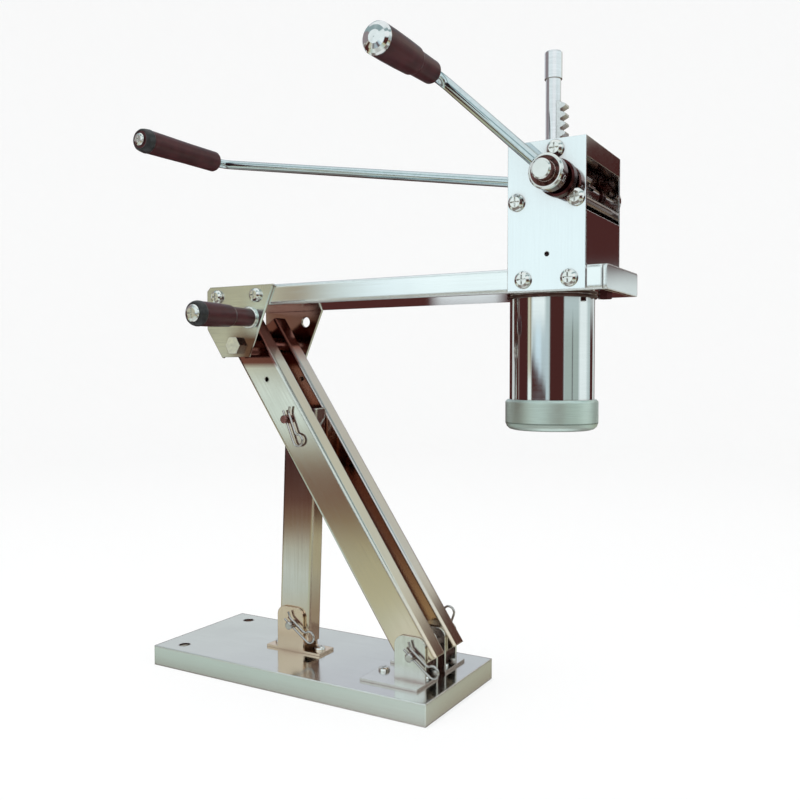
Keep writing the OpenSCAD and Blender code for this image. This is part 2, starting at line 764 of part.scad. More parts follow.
// block that closes the top of the head, with the bore and slot that guide the plunger rod and its rack
module rod_guide() {
  color(steel) difference() {
    translate([head_x, -arm_y, guide_z]) cube([head_w, arm_w, guide_h]);
    translate([rod_x, 0, guide_z - 1]) cylinder(r = plunger_d / 2 + run, h = guide_h + 2);
    translate([rod_x, -rack_w / 2 - slack, guide_z - 1])
      cube([pitch_off + tooth_add + slack, rack_w + 2 * slack, guide_h + 2]);
    for (s = [-1, 1]) rod_y(guide_screw_x, guide_z + guide_h / 2, screw_d / 2 + run,
      s * arm_y - screw_l - 1, s * arm_y + screw_l + 1);
  }
}

module plate_screw(x, z, l) {
  along_front(x, -plate_y, z) {
    pan_head(7 / 6 * screw_d, 0.75 * screw_d);
    translate([0, 0, -l]) cylinder(d = screw_d, h = l + 0.5, $fn = 24);
  }
  along_y(x, plate_y, z) {
    pan_head(7 / 6 * screw_d, 0.75 * screw_d);
    translate([0, 0, -l]) cylinder(d = screw_d, h = l + 0.5, $fn = 24);
  }
}

module plate_screws() {
  color(steel) {
    plate_screw(guide_screw_x, guide_z + guide_h / 2, screw_l);
    plate_screw(tie_xl, tie_z, screw_l);
    plate_screw(tie_xr, tie_z, screw_l);
    for (x = arm_screw_x) plate_screw(x, arm_screw_z, plate_t + arm_t);
  }
}

// flanged bearing bush, flange outside the head plate
module bush_body() {
  difference() {
    union() {
      rotate_extrude() polygon([[0, 0], [flange_r, 0], [flange_r, 0.7 * flange_t],
        [flange_r - 0.3 * flange_t, flange_t], [0, flange_t]]);
      translate([0, 0, -plate_t - flange_t]) cylinder(d = bush_d, h = plate_t + flange_t + 0.5);
    }
    translate([0, 0, -bush_d]) cylinder(r = shaft_d / 2 + run, h = 2 * bush_d);
  }
}

module front_bush() {
  color(dark) along_front(shaft_x, -plate_y, shaft_z) bush_body();
}

module rear_bush() {
  color(dark) along_y(shaft_x, plate_y, shaft_z) bush_body();
}

// barrel welded under the arm, with a small weld bead at the top
module barrel() {
  color(steel) translate([rod_x, 0, barrel_z]) rotate_extrude($fn = 72) polygon([[bore_r, 0], [barrel_r, 0],
    [barrel_r, barrel_l - barrel_t], [barrel_r + barrel_t, barrel_l], [bore_r, barrel_l]]);
}

// points of one involute tooth flank from the base circle to the tip, angle from the tooth middle
function inv_r(i) = max(base_r, pitch_r - tooth_ded) + i / 6 * (tip_r - max(base_r, pitch_r - tooth_ded));
function inv_a(r) = half_a + inv(gear_pa) - inv(acos(base_r / r));
function inv(a) = tan(a) * 180 / PI - a;

module tooth_outline() {
  right = [for (i = [0 : 6]) inv_r(i) * [cos(-inv_a(inv_r(i))), sin(-inv_a(inv_r(i)))]];
  left = [for (i = [6 : -1 : 0]) inv_r(i) * [cos(inv_a(inv_r(i))), sin(inv_a(inv_r(i)))]];
  foot = inv_a(inv_r(0));
  inner = root_r - 1;
  polygon(concat([inner * [cos(foot), -sin(foot)]], right, left, [inner * [cos(foot), sin(foot)]]));
}

// pinion with a tooth space facing a rack tooth at rest
module pinion() {
  color(satin) difference() {
    along_y(shaft_x, -gear_w / 2, shaft_z) union() {
      cylinder(r = root_r, h = gear_w);
      for (k = [0 : gear_z - 1]) rotate([0, 0, 180 + (k + 0.5) * 360 / gear_z])
        linear_extrude(height = gear_w) tooth_outline();
    }
    rod_y(shaft_x, shaft_z, shaft_d / 2 + run, -gear_w, gear_w);
  }
}

module pinion_shaft() {
  l = shaft_front + shaft_rear;
  r = shaft_d / 2;
  color(steel) along_y(shaft_x, -shaft_front, shaft_z) rotate_extrude()
    polygon([[0, 0], [r - 1, 0], [r, 1], [r, l - 1], [r - 1, l], [0, l]]);
}

module shaft_sleeves() {
  y1 = arm_y - flange_t - slack;
  color(satin) for (s = [-1, 1]) difference() {
    rod_y(shaft_x, shaft_z, sleeve_r, s > 0 ? gear_w / 2 : -y1, s > 0 ? y1 : -gear_w / 2);
    rod_y(shaft_x, shaft_z, shaft_d / 2 + run, -arm_w, arm_w);
  }
}

// crank hub: neck, collar with a hollow face, closed boss, cross hole for the rod and a set screw hole
module crank_hub() {
  face = hub_neck + hub_t;
  color(steel) difference() {
    along_front(shaft_x, -hub_y0, shaft_z) difference() {
      rotate_extrude() polygon([[0, 0], [rod_d, 0], [rod_d, hub_neck], [hub_r - hub_rim, hub_neck],
        [hub_r, hub_neck + hub_rim], [hub_r, face - hub_rim], [hub_r - hub_rim, face],
        [hub_r - 2 * hub_rim, face], [boss_r, face - hub_rim], [boss_r, hub_l - hub_rim],
        [boss_r - hub_rim, hub_l], [0, hub_l]]);
      translate([0, 0, -1]) cylinder(r = shaft_d / 2 + run, h = shaft_front - hub_y0 + 1 + slack);
    }
    translate([shaft_x, -crank_y, shaft_z]) rotate([0, crank_rest - 90, 0])
      cylinder(r = rod_d / 2 + run, h = 2 * hub_r);
    translate([shaft_x, -crank_y, shaft_z]) rotate([0, set_screw_a, 0])
      cylinder(r = set_screw_d / 2 + run, h = 2 * hub_r, $fn = 24);
  }
}

module crank_screw() {
  color(satin) translate([shaft_x, -crank_y, shaft_z]) rotate([0, set_screw_a, 0]) difference() {
    translate([0, 0, shaft_d / 2 + 0.2]) cylinder(d = set_screw_d, h = hub_r - shaft_d / 2, $fn = 24);
    translate([0, 0, hub_r - set_screw_d / 2]) cylinder(r = 0.28 * set_screw_d, h = set_screw_d, $fn = 6);
  }
}

// bent rod in its own frame: from z = s0 along +Z, bend to -Y, spindle along -Y with a shoulder
module bent_rod(s0, s1, spindle_l) {
  translate([0, 0, s0]) cylinder(d = rod_d, h = s1 - bend_r - s0);
  translate([0, -bend_r, s1 - bend_r]) rotate([0, -90, 0]) rotate_extrude(angle = 90)
    translate([bend_r, 0]) circle(d = rod_d);
  translate([0, -bend_r, s1]) rotate([90, 0, 0]) cylinder(d = rod_d, h = rod_neck);
  translate([0, -bend_r - rod_neck, s1]) rotate([90, 0, 0]) cylinder(d = spindle_d, h = spindle_l);
}

module crank_rod() {
  color(steel) translate([shaft_x, -crank_y, shaft_z]) rotate([0, crank_rest - 90, 0])
    bent_rod(shaft_d / 2 + 0.3, crank_r, crank_grip_l + slack);
}

// places a child at the inner end of the crank grip, its -Y axis along the spindle
module at_crank_grip() {
  translate([shaft_x - crank_r * cos(crank_rest), -crank_y - bend_r - rod_neck - slack,
    shaft_z + crank_r * sin(crank_rest)]) children();
}

module crank_grip() {
  color(grip_brown) at_crank_grip()
    grip_body(crank_grip_l, crank_grip_d, spindle_d / 2 + run, [[crank_grip_d / 2, crank_grip_l]]);
}

// bright domed cap on the outer end of the crank grip
module crank_grip_cap() {
  r = crank_grip_d / 2;
  h = r * 0.42;
  relief = 0.4;
  color(steel) at_crank_grip() translate([0, -crank_grip_l, 0]) rotate([90, 0, 0])
    rotate_extrude() polygon([[0, relief], [0, h], [r * 0.4, h * 0.93], [r * 0.7, h * 0.74],
      [r * 0.9, h * 0.46], [r, h * 0.15], [r, 0], [spindle_d / 2 + relief, 0],
      [spindle_d / 2 + relief, relief]]);
}

// saw-toothed wheel on the shaft behind the head
module ratchet_wheel() {
  step = 360 / ratchet_z;
  pts = [for (k = [0 : ratchet_z - 1]) each [ratchet_r * [cos(k * step), sin(k * step)],
    0.8 * ratchet_r * [cos((k + 0.13) * step), sin((k + 0.13) * step)]]];
  color(satin) difference() {
    along_y(shaft_x, ratchet_y, shaft_z) linear_extrude(height = ratchet_t) polygon(pts);
    rod_y(shaft_x, shaft_z, shaft_d / 2 + run, 0, 2 * arm_w);
  }
}

module shaft_nut() {
  y0 = lever_hub_y + lever_hub_l + slack;
  color(steel) along_y(shaft_x, y0, shaft_z) difference() {
    hexagon(1.6 * shaft_d, shaft_nut_h);
    translate([0, 0, -1]) cylinder(r = shaft_d / 2 + run, h = shaft_nut_h + 2);
  }
}

// lever frame: origin on the shaft, local +Z along the lever, local +X up
module lever_frame(y) {
  translate([shaft_x, y, shaft_z]) rotate([0, lever_rest - 90, 0]) children();
}

// a child drawn along +Z is laid along +Y from y on the pawl's pin
module at_pawl(y) {
  lever_frame(y) translate([pawl_x, 0, pawl_z]) rotate([-90, 0, 0]) children();
}

// hub disc that turns on the shaft, with a socket for the rod above the shaft and an ear for the pawl
module lever_hub() {
  color(steel) difference() {
    union() {
      rod_y(shaft_x, shaft_z, lever_hub_r, lever_hub_y, lever_hub_y + lever_hub_l);
      at_pawl(lever_hub_y) cylinder(r = 0.85 * rod_d, h = lever_hub_l);
      lever_frame(lever_y) translate([lever_off, 0, 1 - lever_tail])
        cylinder(d = lever_hub_l, h = lever_tail + socket_l);
    }
    rod_y(shaft_x, shaft_z, shaft_d / 2 + run, 0, 2 * arm_w);
    lever_frame(lever_y) translate([lever_off, 0, 0])
      cylinder(r = rod_d / 2 + run, h = 4 * socket_l, center = true);
    at_pawl(0) cylinder(r = pawl_pin_r + run, h = 2 * arm_w, $fn = 24);
  }
}

// pawl held clear of the ratchet teeth
module pawl() {
  pawl_t = ratchet_t - slack;
  color(satin) difference() {
    union() {
      at_pawl(ratchet_y + slack) cylinder(r = 0.55 * rod_d, h = pawl_t);
      at_pawl(ratchet_y + slack) linear_extrude(height = pawl_t)
        polygon(rod_d * [[-0.5, -0.15], [0.3, 0.4], [1.7, -0.65], [1.3, -0.85]]);
    }
    at_pawl(ratchet_y) cylinder(r = pawl_pin_r + run, h = 2 * ratchet_t, $fn = 24);
  }
}

module pawl_pin() {
  color(steel) at_pawl(ratchet_y) cylinder(r = pawl_pin_r, h = ratchet_t + slack + lever_hub_l, $fn = 24);
}

module lever_rod() {
  color(steel) lever_frame(lever_y) translate([lever_off, 0, 0])
    bent_rod(-lever_tail, lever_r, press_grip_l + 2 * slack);
}

// places a child at the inner end of the press lever grip
module at_press_grip() {
  lever_frame(0) translate([lever_off, lever_y - bend_r - rod_neck - slack, lever_r])
    rotate([0, 90 - lever_rest, 0]) children();
}

module press_grip() {
  color(grip_brown) at_press_grip() rotate([90, 0, 0]) difference() {
    rotate_extrude() polygon([[0, 0], [press_grip_d * 0.42, 0], [press_grip_d * 0.46, 2],
      [press_grip_d * 0.465, press_grip_l * 0.4], [press_grip_d * 0.49, press_grip_l * 0.75],
      [press_grip_d * 0.5, press_grip_l * 0.92], [press_grip_d * 0.47, press_grip_l * 0.985],
      [press_grip_d * 0.4, press_grip_l], [0, press_grip_l]]);
    translate([0, 0, -1]) cylinder(r = spindle_d / 2 + run, h = press_grip_l + 2);
  }
}

module press_grip_screw() {
  color(steel) at_press_grip() translate([0, -press_grip_l - slack, 0]) rotate([90, 0, 0]) pan_head(6.5, 3);
}

module plunger_rod() {
  z0 = piston_z + socket_z;
  color(steel) translate([rod_x, 0, z0]) cylinder(d = plunger_d, h = rod_top - z0);
}

// toothed bar welded to the right side of the plunger rod
module rack_bar() {
  x0 = plunger_d / 2 - rack_back;
  root_x = pitch_off - tooth_ded;
  tip_x = pitch_off + tooth_add;
  half_t = tooth_pitch / 4 - gear_lash / 4;
  slope = tan(gear_pa);
  color(steel) difference() {
    union() {
      translate([rod_x + x0, -rack_w / 2, shaft_z - (rack_dn + 0.5) * tooth_pitch])
        cube([root_x - x0, rack_w, rack_n * tooth_pitch]);
      for (k = [-rack_dn : rack_up]) translate([rod_x, rack_w / 2, shaft_z + k * tooth_pitch])
        rotate([90, 0, 0]) linear_extrude(height = rack_w) polygon([
          [root_x - 0.5, -half_t - (tooth_ded + 0.5) * slope], [tip_x, -half_t + tooth_add * slope],
          [tip_x, half_t - tooth_add * slope], [root_x - 0.5, half_t + (tooth_ded + 0.5) * slope]]);
    }
    translate([rod_x, 0, piston_z]) cylinder(r = plunger_d / 2 + run, h = rod_top - piston_z);
  }
}

module rod_collar() {
  r = plunger_d / 2 + collar_t;
  color(steel) translate([rod_x, 0, rod_top - collar_h]) difference() {
    rotate_extrude() polygon([[0, 0], [r, 0], [r, collar_h], [r - collar_t, collar_h + collar_t],
      [0, collar_h + collar_t]]);
    translate([0, 0, -1]) cylinder(r = plunger_d / 2 + run, h = collar_h + 1);
  }
}

// piston with a seal groove, rod socket above and nut recess below
module piston() {
  r = bore_r - run;
  groove_r = bore_r - groove_d;
  groove_top = groove_z + groove_h;
  color(alloy) translate([rod_x, 0, piston_z]) difference() {
    rotate_extrude($fn = 72) polygon([[0, 0], [r - 1, 0], [r, 1], [r, groove_z], [groove_r, groove_z],
      [groove_r, groove_top], [r, groove_top], [r, piston_h], [0, piston_h]]);
    translate([0, 0, socket_z]) cylinder(r = plunger_d / 2 + run, h = piston_h);
    translate([0, 0, -1]) cylinder(r = stud_r + run, h = socket_z + 2);
    translate([0, 0, -1]) cylinder(r = recess_r, h = recess_z + 1);
  }
}

module piston_seal() {
  color(black) translate([rod_x, 0, piston_z + groove_z]) difference() {
    cylinder(r = bore_r - run, h = groove_h, $fn = 72);
    translate([0, 0, -1]) cylinder(r = bore_r - groove_d + run, h = groove_h + 2, $fn = 72);
  }
}

// nut and stud under the plunger rod
module piston_nut() {
  color(steel) translate([rod_x, 0, piston_z]) {
    translate([0, 0, 0.5]) hexagon(plunger_d, recess_z - 0.5);
    translate([0, 0, 1]) cylinder(r = stud_r, h = socket_z - 1, $fn = 32);
  }
}

// die plate with rings of holes
module die_plate() {
  color(steel) translate([rod_x, 0, die_z]) difference() {
    cylinder(r = barrel_r - 0.3, h = die_t, $fn = 72);
    for (k = [0 : 3]) for (i = [0 : max(0, 6 * k - 1)]) rotate([0, 0, i * 60 / max(1, k)])
      translate([die_ring * k, 0, -1]) cylinder(d = die_hole, h = die_t + 2, $fn = 20);
  }
}

// screw cap with a rounded lower edge that carries the die plate
module cap_ring() {
  r = barrel_r + run + cap_t;
  e = 0.26 * cap_h;
  color(alloy) translate([rod_x, 0, cap_z]) rotate_extrude($fn = 72) polygon([[cap_open / 2, 0], [r - e, 0],
    [r - 0.53 * e, 0.13 * e], [r - 0.2 * e, 0.43 * e], [r, 0.92 * e], [r, cap_h - e / 4], [r - e / 4, cap_h],
    [barrel_r + run, cap_h], [barrel_r + run, cap_floor], [cap_open / 2, cap_floor]]);
}

base_plate();
strut_bracket();
front_rail_bracket();
rear_rail_bracket();
bracket_screws();
bracket_nuts();
strut();
front_rail();
rear_rail();
strut_foot_pin();
strut_top_pin();
rail_foot_pin();
r_clips();
pivot_bolt();
pivot_nut();
pivot_spacers();
saddle();
saddle_bolts();
saddle_nuts();
arm();
arm_end_cap();
end_cap_screw();
side_grip();
side_grip_bolt();
side_grip_nut();
front_plate();
rear_plate();
side_plates();
tie_bars();
rod_guide();
plate_screws();
front_bush();
rear_bush();
barrel();
pinion();
pinion_shaft();
shaft_sleeves();
crank_hub();
crank_screw();
crank_rod();
crank_grip();
crank_grip_cap();
ratchet_wheel();
shaft_nut();
lever_hub();
pawl();
pawl_pin();
lever_rod();
press_grip();
press_grip_screw();
plunger_rod();
rack_bar();
rod_collar();
piston();
piston_seal();
piston_nut();
die_plate();
cap_ring();
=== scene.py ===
import math

import bmesh
import bpy
import numpy as np
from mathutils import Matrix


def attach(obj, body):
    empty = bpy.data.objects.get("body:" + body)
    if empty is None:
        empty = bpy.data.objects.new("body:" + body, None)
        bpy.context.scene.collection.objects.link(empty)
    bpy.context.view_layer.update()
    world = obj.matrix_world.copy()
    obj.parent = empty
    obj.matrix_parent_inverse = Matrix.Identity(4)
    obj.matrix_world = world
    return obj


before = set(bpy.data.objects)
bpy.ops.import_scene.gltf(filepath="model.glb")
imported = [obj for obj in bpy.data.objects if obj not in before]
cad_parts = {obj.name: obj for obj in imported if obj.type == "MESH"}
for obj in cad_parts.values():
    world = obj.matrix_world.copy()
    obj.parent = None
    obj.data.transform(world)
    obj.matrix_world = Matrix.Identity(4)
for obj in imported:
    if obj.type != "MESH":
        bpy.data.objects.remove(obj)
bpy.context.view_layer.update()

# Base tray: one sheet of stainless steel, folded down on four sides and polished along its length.
# It stands on its lower edge, and two plain holes at the left end take table bolts.
# The hollow side, which shows only through the holes, is darkened with painted shade.


def new_group(name, ins, outs):
    """Empty shader node group: inputs {name: value}, a tuple for a vector, and outputs {name: kind}."""
    group = bpy.data.node_groups.new(name, "ShaderNodeTree")
    for label, value in ins.items():
        kind = "NodeSocketVector" if isinstance(value, tuple) else "NodeSocketFloat"
        socket = group.interface.new_socket(label, in_out="INPUT", socket_type=kind)
        socket.default_value = value
    for label, kind in outs.items():
        group.interface.new_socket(label, in_out="OUTPUT", socket_type="NodeSocket" + kind)
    sources = group.nodes.new("NodeGroupInput").outputs
    results = group.nodes.new("NodeGroupOutput").inputs
    return group, sources, results


def node(tree, kind, links=(), **values):
    """Adds a shader node, sets its properties or input values and links (input, source) pairs."""
    n = tree.nodes.new("ShaderNode" + kind)
    for key, value in values.items():
        if hasattr(n, key):
            setattr(n, key, value)
        else:
            n.inputs[key.replace("_", " ")].default_value = value
    for key, source in links:
        tree.links.new(source, n.inputs[key])
    return n


# Polishing lines: noise drawn out along the lay, and a slow cloud of handling marks.
polish, p_in, p_out = new_group(
    "polish_lines",
    {"Lay": (0.0, 0.0, 0.0), "Stretch": (20.0, 900.0, 900.0), "Cloud scale": 18.0},
    {"Line": "Float", "Cloud": "Float"},
)
place = node(polish, "TexCoord")
turned = node(
    polish, "Mapping", [("Vector", place.outputs["Object"]), ("Rotation", p_in["Lay"])]
)
drawn = node(
    polish, "VectorMath", [(0, turned.outputs[0]), (1, p_in["Stretch"])], operation="MULTIPLY"
)
lines = node(polish, "TexNoise", [("Vector", drawn.outputs[0])], Scale=1.0, Detail=3.0)
cloud = node(
    polish,
    "TexNoise",
    [("Vector", place.outputs["Object"]), ("Scale", p_in["Cloud scale"])],
    Detail=4.0,
    Roughness=0.6,
)
polish.links.new(lines.outputs[0], p_out["Line"])
polish.links.new(cloud.outputs[0], p_out["Cloud"])

# Worn edge and painted highlight: where the rounded normal leaves the flat one, the metal's colour is
# made brighter.
worn_edge_highlight, r_in, r_out = new_group(
    "worn_edge_highlight_group", {"Radius": 0.0006}, {"Edge": "Float", "Normal": "Vector"}
)
rounded = node(worn_edge_highlight, "Bevel", [("Radius", r_in["Radius"])], samples=4)
flat = node(worn_edge_highlight, "NewGeometry")
agree = node(
    worn_edge_highlight,
    "VectorMath",
    [(0, rounded.outputs[0]), (1, flat.outputs["Normal"])],
    operation="DOT_PRODUCT",
)
edge = node(
    worn_edge_highlight, "MapRange", [("Value", agree.outputs["Value"])], From_Min=0.99, From_Max=0.75
)
worn_edge_highlight.links.new(edge.outputs[0], r_out["Edge"])
worn_edge_highlight.links.new(rounded.outputs[0], r_out["Normal"])

# Painted shade: where plates and tubes mirror only dark metal close by, ambient occlusion darkens the
# colour.
painted_shelter_shade, s_in, s_out = new_group("painted_shelter_shade", {"Reach": 0.09}, {"Open": "Float"})
around = node(painted_shelter_shade, "AmbientOcclusion", [("Distance", s_in["Reach"])], samples=6)
free = node(
    painted_shelter_shade, "MapRange", [("Value", around.outputs["AO"])], From_Min=0.22, From_Max=0.72
)
painted_shelter_shade.links.new(free.outputs[0], s_out["Open"])


def steel(
    name,
    colour,
    rough,
    lay=(0.0, 0.0, 0.0),
    stretch=(20.0, 900.0, 900.0),
    round_r=0.0006,
    line_depth=0.00001,
    spread=0.10,
    shade=0.10,
    cloud_scale=18.0,
    edge_highlight_lift=0.04,
    reach=0.0,
    shade_tint=(0.45, 0.27, 0.24),
):
    """Metal finish: colour darkened by line and cloud, painted shade where sheltered, spread roughness,
    rounded edges with wear and a painted highlight.
    """
    finish = bpy.data.materials.new(name)
    finish.use_nodes = True
    tree = finish.node_tree
    skin = tree.nodes["Principled BSDF"]
    skin.inputs["Metallic"].default_value = 1.0
    grain = node(tree, "Group", node_tree=polish)
    grain.inputs["Lay"].default_value = lay
    grain.inputs["Stretch"].default_value = stretch
    grain.inputs["Cloud scale"].default_value = cloud_scale
    rim = node(tree, "Group", node_tree=worn_edge_highlight)
    rim.inputs["Radius"].default_value = round_r
    marks = node(
        tree,
        "Math",
        [(0, grain.outputs["Line"]), (1, grain.outputs["Cloud"])],
        operation="MULTIPLY",
    )
    tone = node(tree, "ValToRGB", [(0, marks.outputs[0])])
    worn, clean = tone.color_ramp.elements
    worn.position = 0.12
    worn.color = [c * (1.0 - shade) for c in colour] + [1.0]
    clean.position = 0.38
    clean.color = list(colour) + [1.0]
    lit = node(
        tree, "Mix", [(0, rim.outputs["Edge"]), (6, tone.outputs[0])], data_type="RGBA"
    )
    # Edge colour: part edge wear, part painted highlight.
    lit.inputs[7].default_value = [min(1.0, c * 1.12 + edge_highlight_lift) for c in colour] + [1.0]
    # Painted shade: the colour sinks towards shade_tint where ambient occlusion finds neighbours within
    # reach.
    top = lit
    if reach > 0.0:
        cover = node(tree, "Group", node_tree=painted_shelter_shade)
        cover.inputs["Reach"].default_value = reach
        top = node(
            tree, "Mix", [(0, cover.outputs["Open"]), (7, lit.outputs[2])], data_type="RGBA"
        )
        top.inputs[6].default_value = [c * k for c, k in zip(colour, shade_tint)] + [1.0]
    tree.links.new(top.outputs[2], skin.inputs["Base Color"])
    dull = node(
        tree,
        "MapRange",
        [("Value", marks.outputs[0])],
        From_Min=0.1,
        From_Max=0.4,
        To_Min=rough + spread,
        To_Max=rough,
    )
    tree.links.new(dull.outputs[0], skin.inputs["Roughness"])
    relief = node(
        tree,
        "Bump",
        [("Height", grain.outputs["Line"]), ("Normal", rim.outputs["Normal"])],
        Distance=line_depth,
        Strength=0.6,
    )
    tree.links.new(relief.outputs[0], skin.inputs["Normal"])
    return finish


def band(tree, axis, low, high, source="Object"):
    """Share that runs from 0 to 1 as X, Y or Z of the place, or of the Normal, goes from low to high."""
    spot = node(tree, "TexCoord")
    split = node(tree, "SeparateXYZ", [("Vector", spot.outputs[source])])
    run = node(tree, "MapRange", [("Value", split.outputs[axis])], From_Min=low, From_Max=high)
    return run.outputs[0]


def both(tree, *shares):
    """Product of several shares."""
    total = shares[0]
    for share in shares[1:]:
        total = node(tree, "Math", [(0, total), (1, share)], operation="MULTIPLY").outputs[0]
    return total


def stain(finish, share, colour):
    """Mixes a colour into a finish by a share."""
    tree = finish.node_tree
    skin = tree.nodes["Principled BSDF"]
    bare = skin.inputs["Base Color"].links[0].from_socket
    mix = node(tree, "Mix", [(0, share), (6, bare)], data_type="RGBA")
    mix.inputs[7].default_value = colour + (1.0,)
    tree.links.new(mix.outputs[2], skin.inputs["Base Color"])


def dress(finish, *names):
    """Puts one finish on the named CAD nodes."""
    for name in names:
        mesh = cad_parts[name].data
        mesh.materials.clear()
        mesh.materials.append(finish)


def box(name):
    """Lowest and highest corner of a CAD node, in metres."""
    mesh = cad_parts[name].data
    spots = np.empty(3 * len(mesh.vertices), dtype=np.float32)
    mesh.vertices.foreach_get("co", spots)
    spots = spots.reshape(-1, 3)
    return spots.min(axis=0).tolist(), spots.max(axis=0).tolist()


# The tray's bright folded edges are a painted highlight, set by its large edge lift.
tray_steel = steel(
    "tray_polish",
    (0.80, 0.82, 0.81),
    0.11,
    round_r=0.0026,
    shade=0.05,
    spread=0.07,
    edge_highlight_lift=0.14,
    reach=0.03,
)
tray_low, tray_high = box("base_plate")
fold, skin_depth, blend = 0.0035, 0.0001, 0.001
tree = tray_steel.node_tree
hollow_painted_shade = [band(tree, "Z", tray_high[2] - skin_depth, tray_high[2] - 4.0 * skin_depth)]
for axis, k in (("X", 0), ("Y", 1)):
    near, far = tray_low[k] + fold, tray_high[k] - fold
    hollow_painted_shade += [band(tree, axis, near, near + blend), band(tree, axis, far, far - blend)]
# Painted shade inside the tray's hollow.
stain(tray_steel, both(tree, *hollow_painted_shade), (0.05, 0.02, 0.02))
dress(tray_steel, "base_plate")

# Brackets: three clevises of bright sheet steel, folded at the foot and rounded at the ears.
# Their feet are screwed through the tray, and the strut and the rails are pinned between the ears.
# The strut's bracket carries a painted tan reflection, as the metal beside it.
bracket_steel = steel(
    "bracket_sheet",
    (0.88, 0.90, 0.88),
    0.15,
    stretch=(700.0, 700.0, 40.0),
    line_depth=0.000005,
    reach=0.02,
)
# Painted tan reflection on the strut's bracket.
tan_reflection_share = band(bracket_steel.node_tree, "X", 0.225, 0.215)
stain(bracket_steel, tan_reflection_share, (0.86, 0.70, 0.56))
dress(bracket_steel, "strut_bracket", "front_rail_bracket", "rear_rail_bracket")

# Screws, bolts and nuts: zinc plated steel, cold headed and slightly yellow.
# Bolts that end past their nut show a few turns of rolled thread.
zinc = steel(
    "bright_zinc",
    (0.88, 0.89, 0.87),
    0.10,
    stretch=(400.0, 400.0, 400.0),
    round_r=0.0004,
    cloud_scale=90.0,
    line_depth=0.000002,
    edge_highlight_lift=0.08,
)
dress(
    zinc,
    "bracket_screws",
    "bracket_nuts",
    "pivot_bolt",
    "pivot_nut",
    "pivot_spacers",
    "saddle_bolts",
    "saddle_nuts",
    "side_grip_bolt",
    "side_grip_nut",
    "plate_screws",
    "crank_screw",
    "shaft_nut",
    "press_grip_screw",
    "piston_nut",
)


def grid_mesh(name, points, wrap):
    """Mesh of a grid of points (rows, columns, 3), one face per cell; wrap joins the last column on."""
    rows, cols = points.shape[:2]
    index = np.arange(rows * cols).reshape(rows, cols)
    if wrap:
        index = np.concatenate([index, index[:, :1]], axis=1)
    faces = np.stack(
        [index[:-1, :-1], index[1:, :-1], index[1:, 1:], index[:-1, 1:]], axis=-1
    ).reshape(-1, 4)
    mesh = bpy.data.meshes.new(name)
    mesh.from_pydata(points.reshape(-1, 3).tolist(), [], faces.tolist())
    mesh.polygons.foreach_set("use_smooth", np.ones(len(faces), dtype=bool))
    piece = bpy.data.objects.new(name, mesh)
    bpy.context.scene.collection.objects.link(piece)
    return piece


def close_up(piece):
    """Merges the points that meet at poles and seams and turns all faces outward."""
    shape = bmesh.new()
    shape.from_mesh(piece.data)
    bmesh.ops.remove_doubles(shape, verts=shape.verts, dist=1e-7)
    bmesh.ops.recalc_face_normals(shape, faces=shape.faces)
    shape.to_mesh(piece.data)
    shape.free()


def fit_out(piece, finish, body):
    """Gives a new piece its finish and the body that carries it."""
    piece.data.materials.append(finish)
    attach(piece, body)


def thread(name, foot, length, radius, pitch):
    """Rolled thread on a shank end along Y: radius plus a ridge whose height is a cosine of run over
    pitch less one turn round the axis, faded out at both ends, with a flat disc at each end."""
    rows_per_pitch, lift, height, end_fade = 8, 0.00005, 0.3 * pitch, 0.125
    run = np.linspace(0.0, 1.0, round(rows_per_pitch * length / pitch) + 1)
    turn = np.radians(np.arange(0, 360, 15))
    ridge = 0.5 + 0.5 * np.cos(2.0 * np.pi * run[:, None] * length / pitch - turn)
    fade = np.clip(np.minimum(run, 1.0 - run) / end_fade, 0.0, 1.0)[:, None]
    rad = radius + lift + height * ridge * fade
    rad = np.concatenate([np.zeros((1, turn.size)), rad, np.zeros((1, turn.size))])
    run = np.concatenate([[0.0], run, [1.0]])[:, None] * length + 0.0 * turn
    points = np.stack([rad * np.cos(turn), run, rad * np.sin(turn)], axis=-1)
    piece = grid_mesh(name, points + np.array(foot), True)
    close_up(piece)
    return piece


# Each thread runs from the nut's outer face to just past the bolt's end. The share says where the
# bolt stands in its group: 0 at the left end, 1 at the right end.
past_end = 0.0001
for name, bolt, nut, share, radius, pitch, body in (
    ("pivot_thread", "pivot_bolt", "pivot_nut", 0.5, 0.005, 0.0008, "stand"),
    ("saddle_thread_left", "saddle_bolts", "saddle_nuts", 0.0, 0.004, 0.0007, "arm"),
    ("saddle_thread_right", "saddle_bolts", "saddle_nuts", 1.0, 0.004, 0.0007, "arm"),
    ("side_grip_thread", "side_grip_bolt", "side_grip_nut", 0.5, 0.005, 0.0008, "arm"),
):
    low, high = box(bolt)
    head_r = 0.5 * (high[2] - low[2])
    axis_x = low[0] + head_r + share * (high[0] - low[0] - 2.0 * head_r)
    nut_face = box(nut)[1][1]
    foot = (axis_x, nut_face, low[2] + head_r)
    piece = thread(name, foot, high[1] + past_end - nut_face, radius, pitch)
    fit_out(piece, zinc, body)

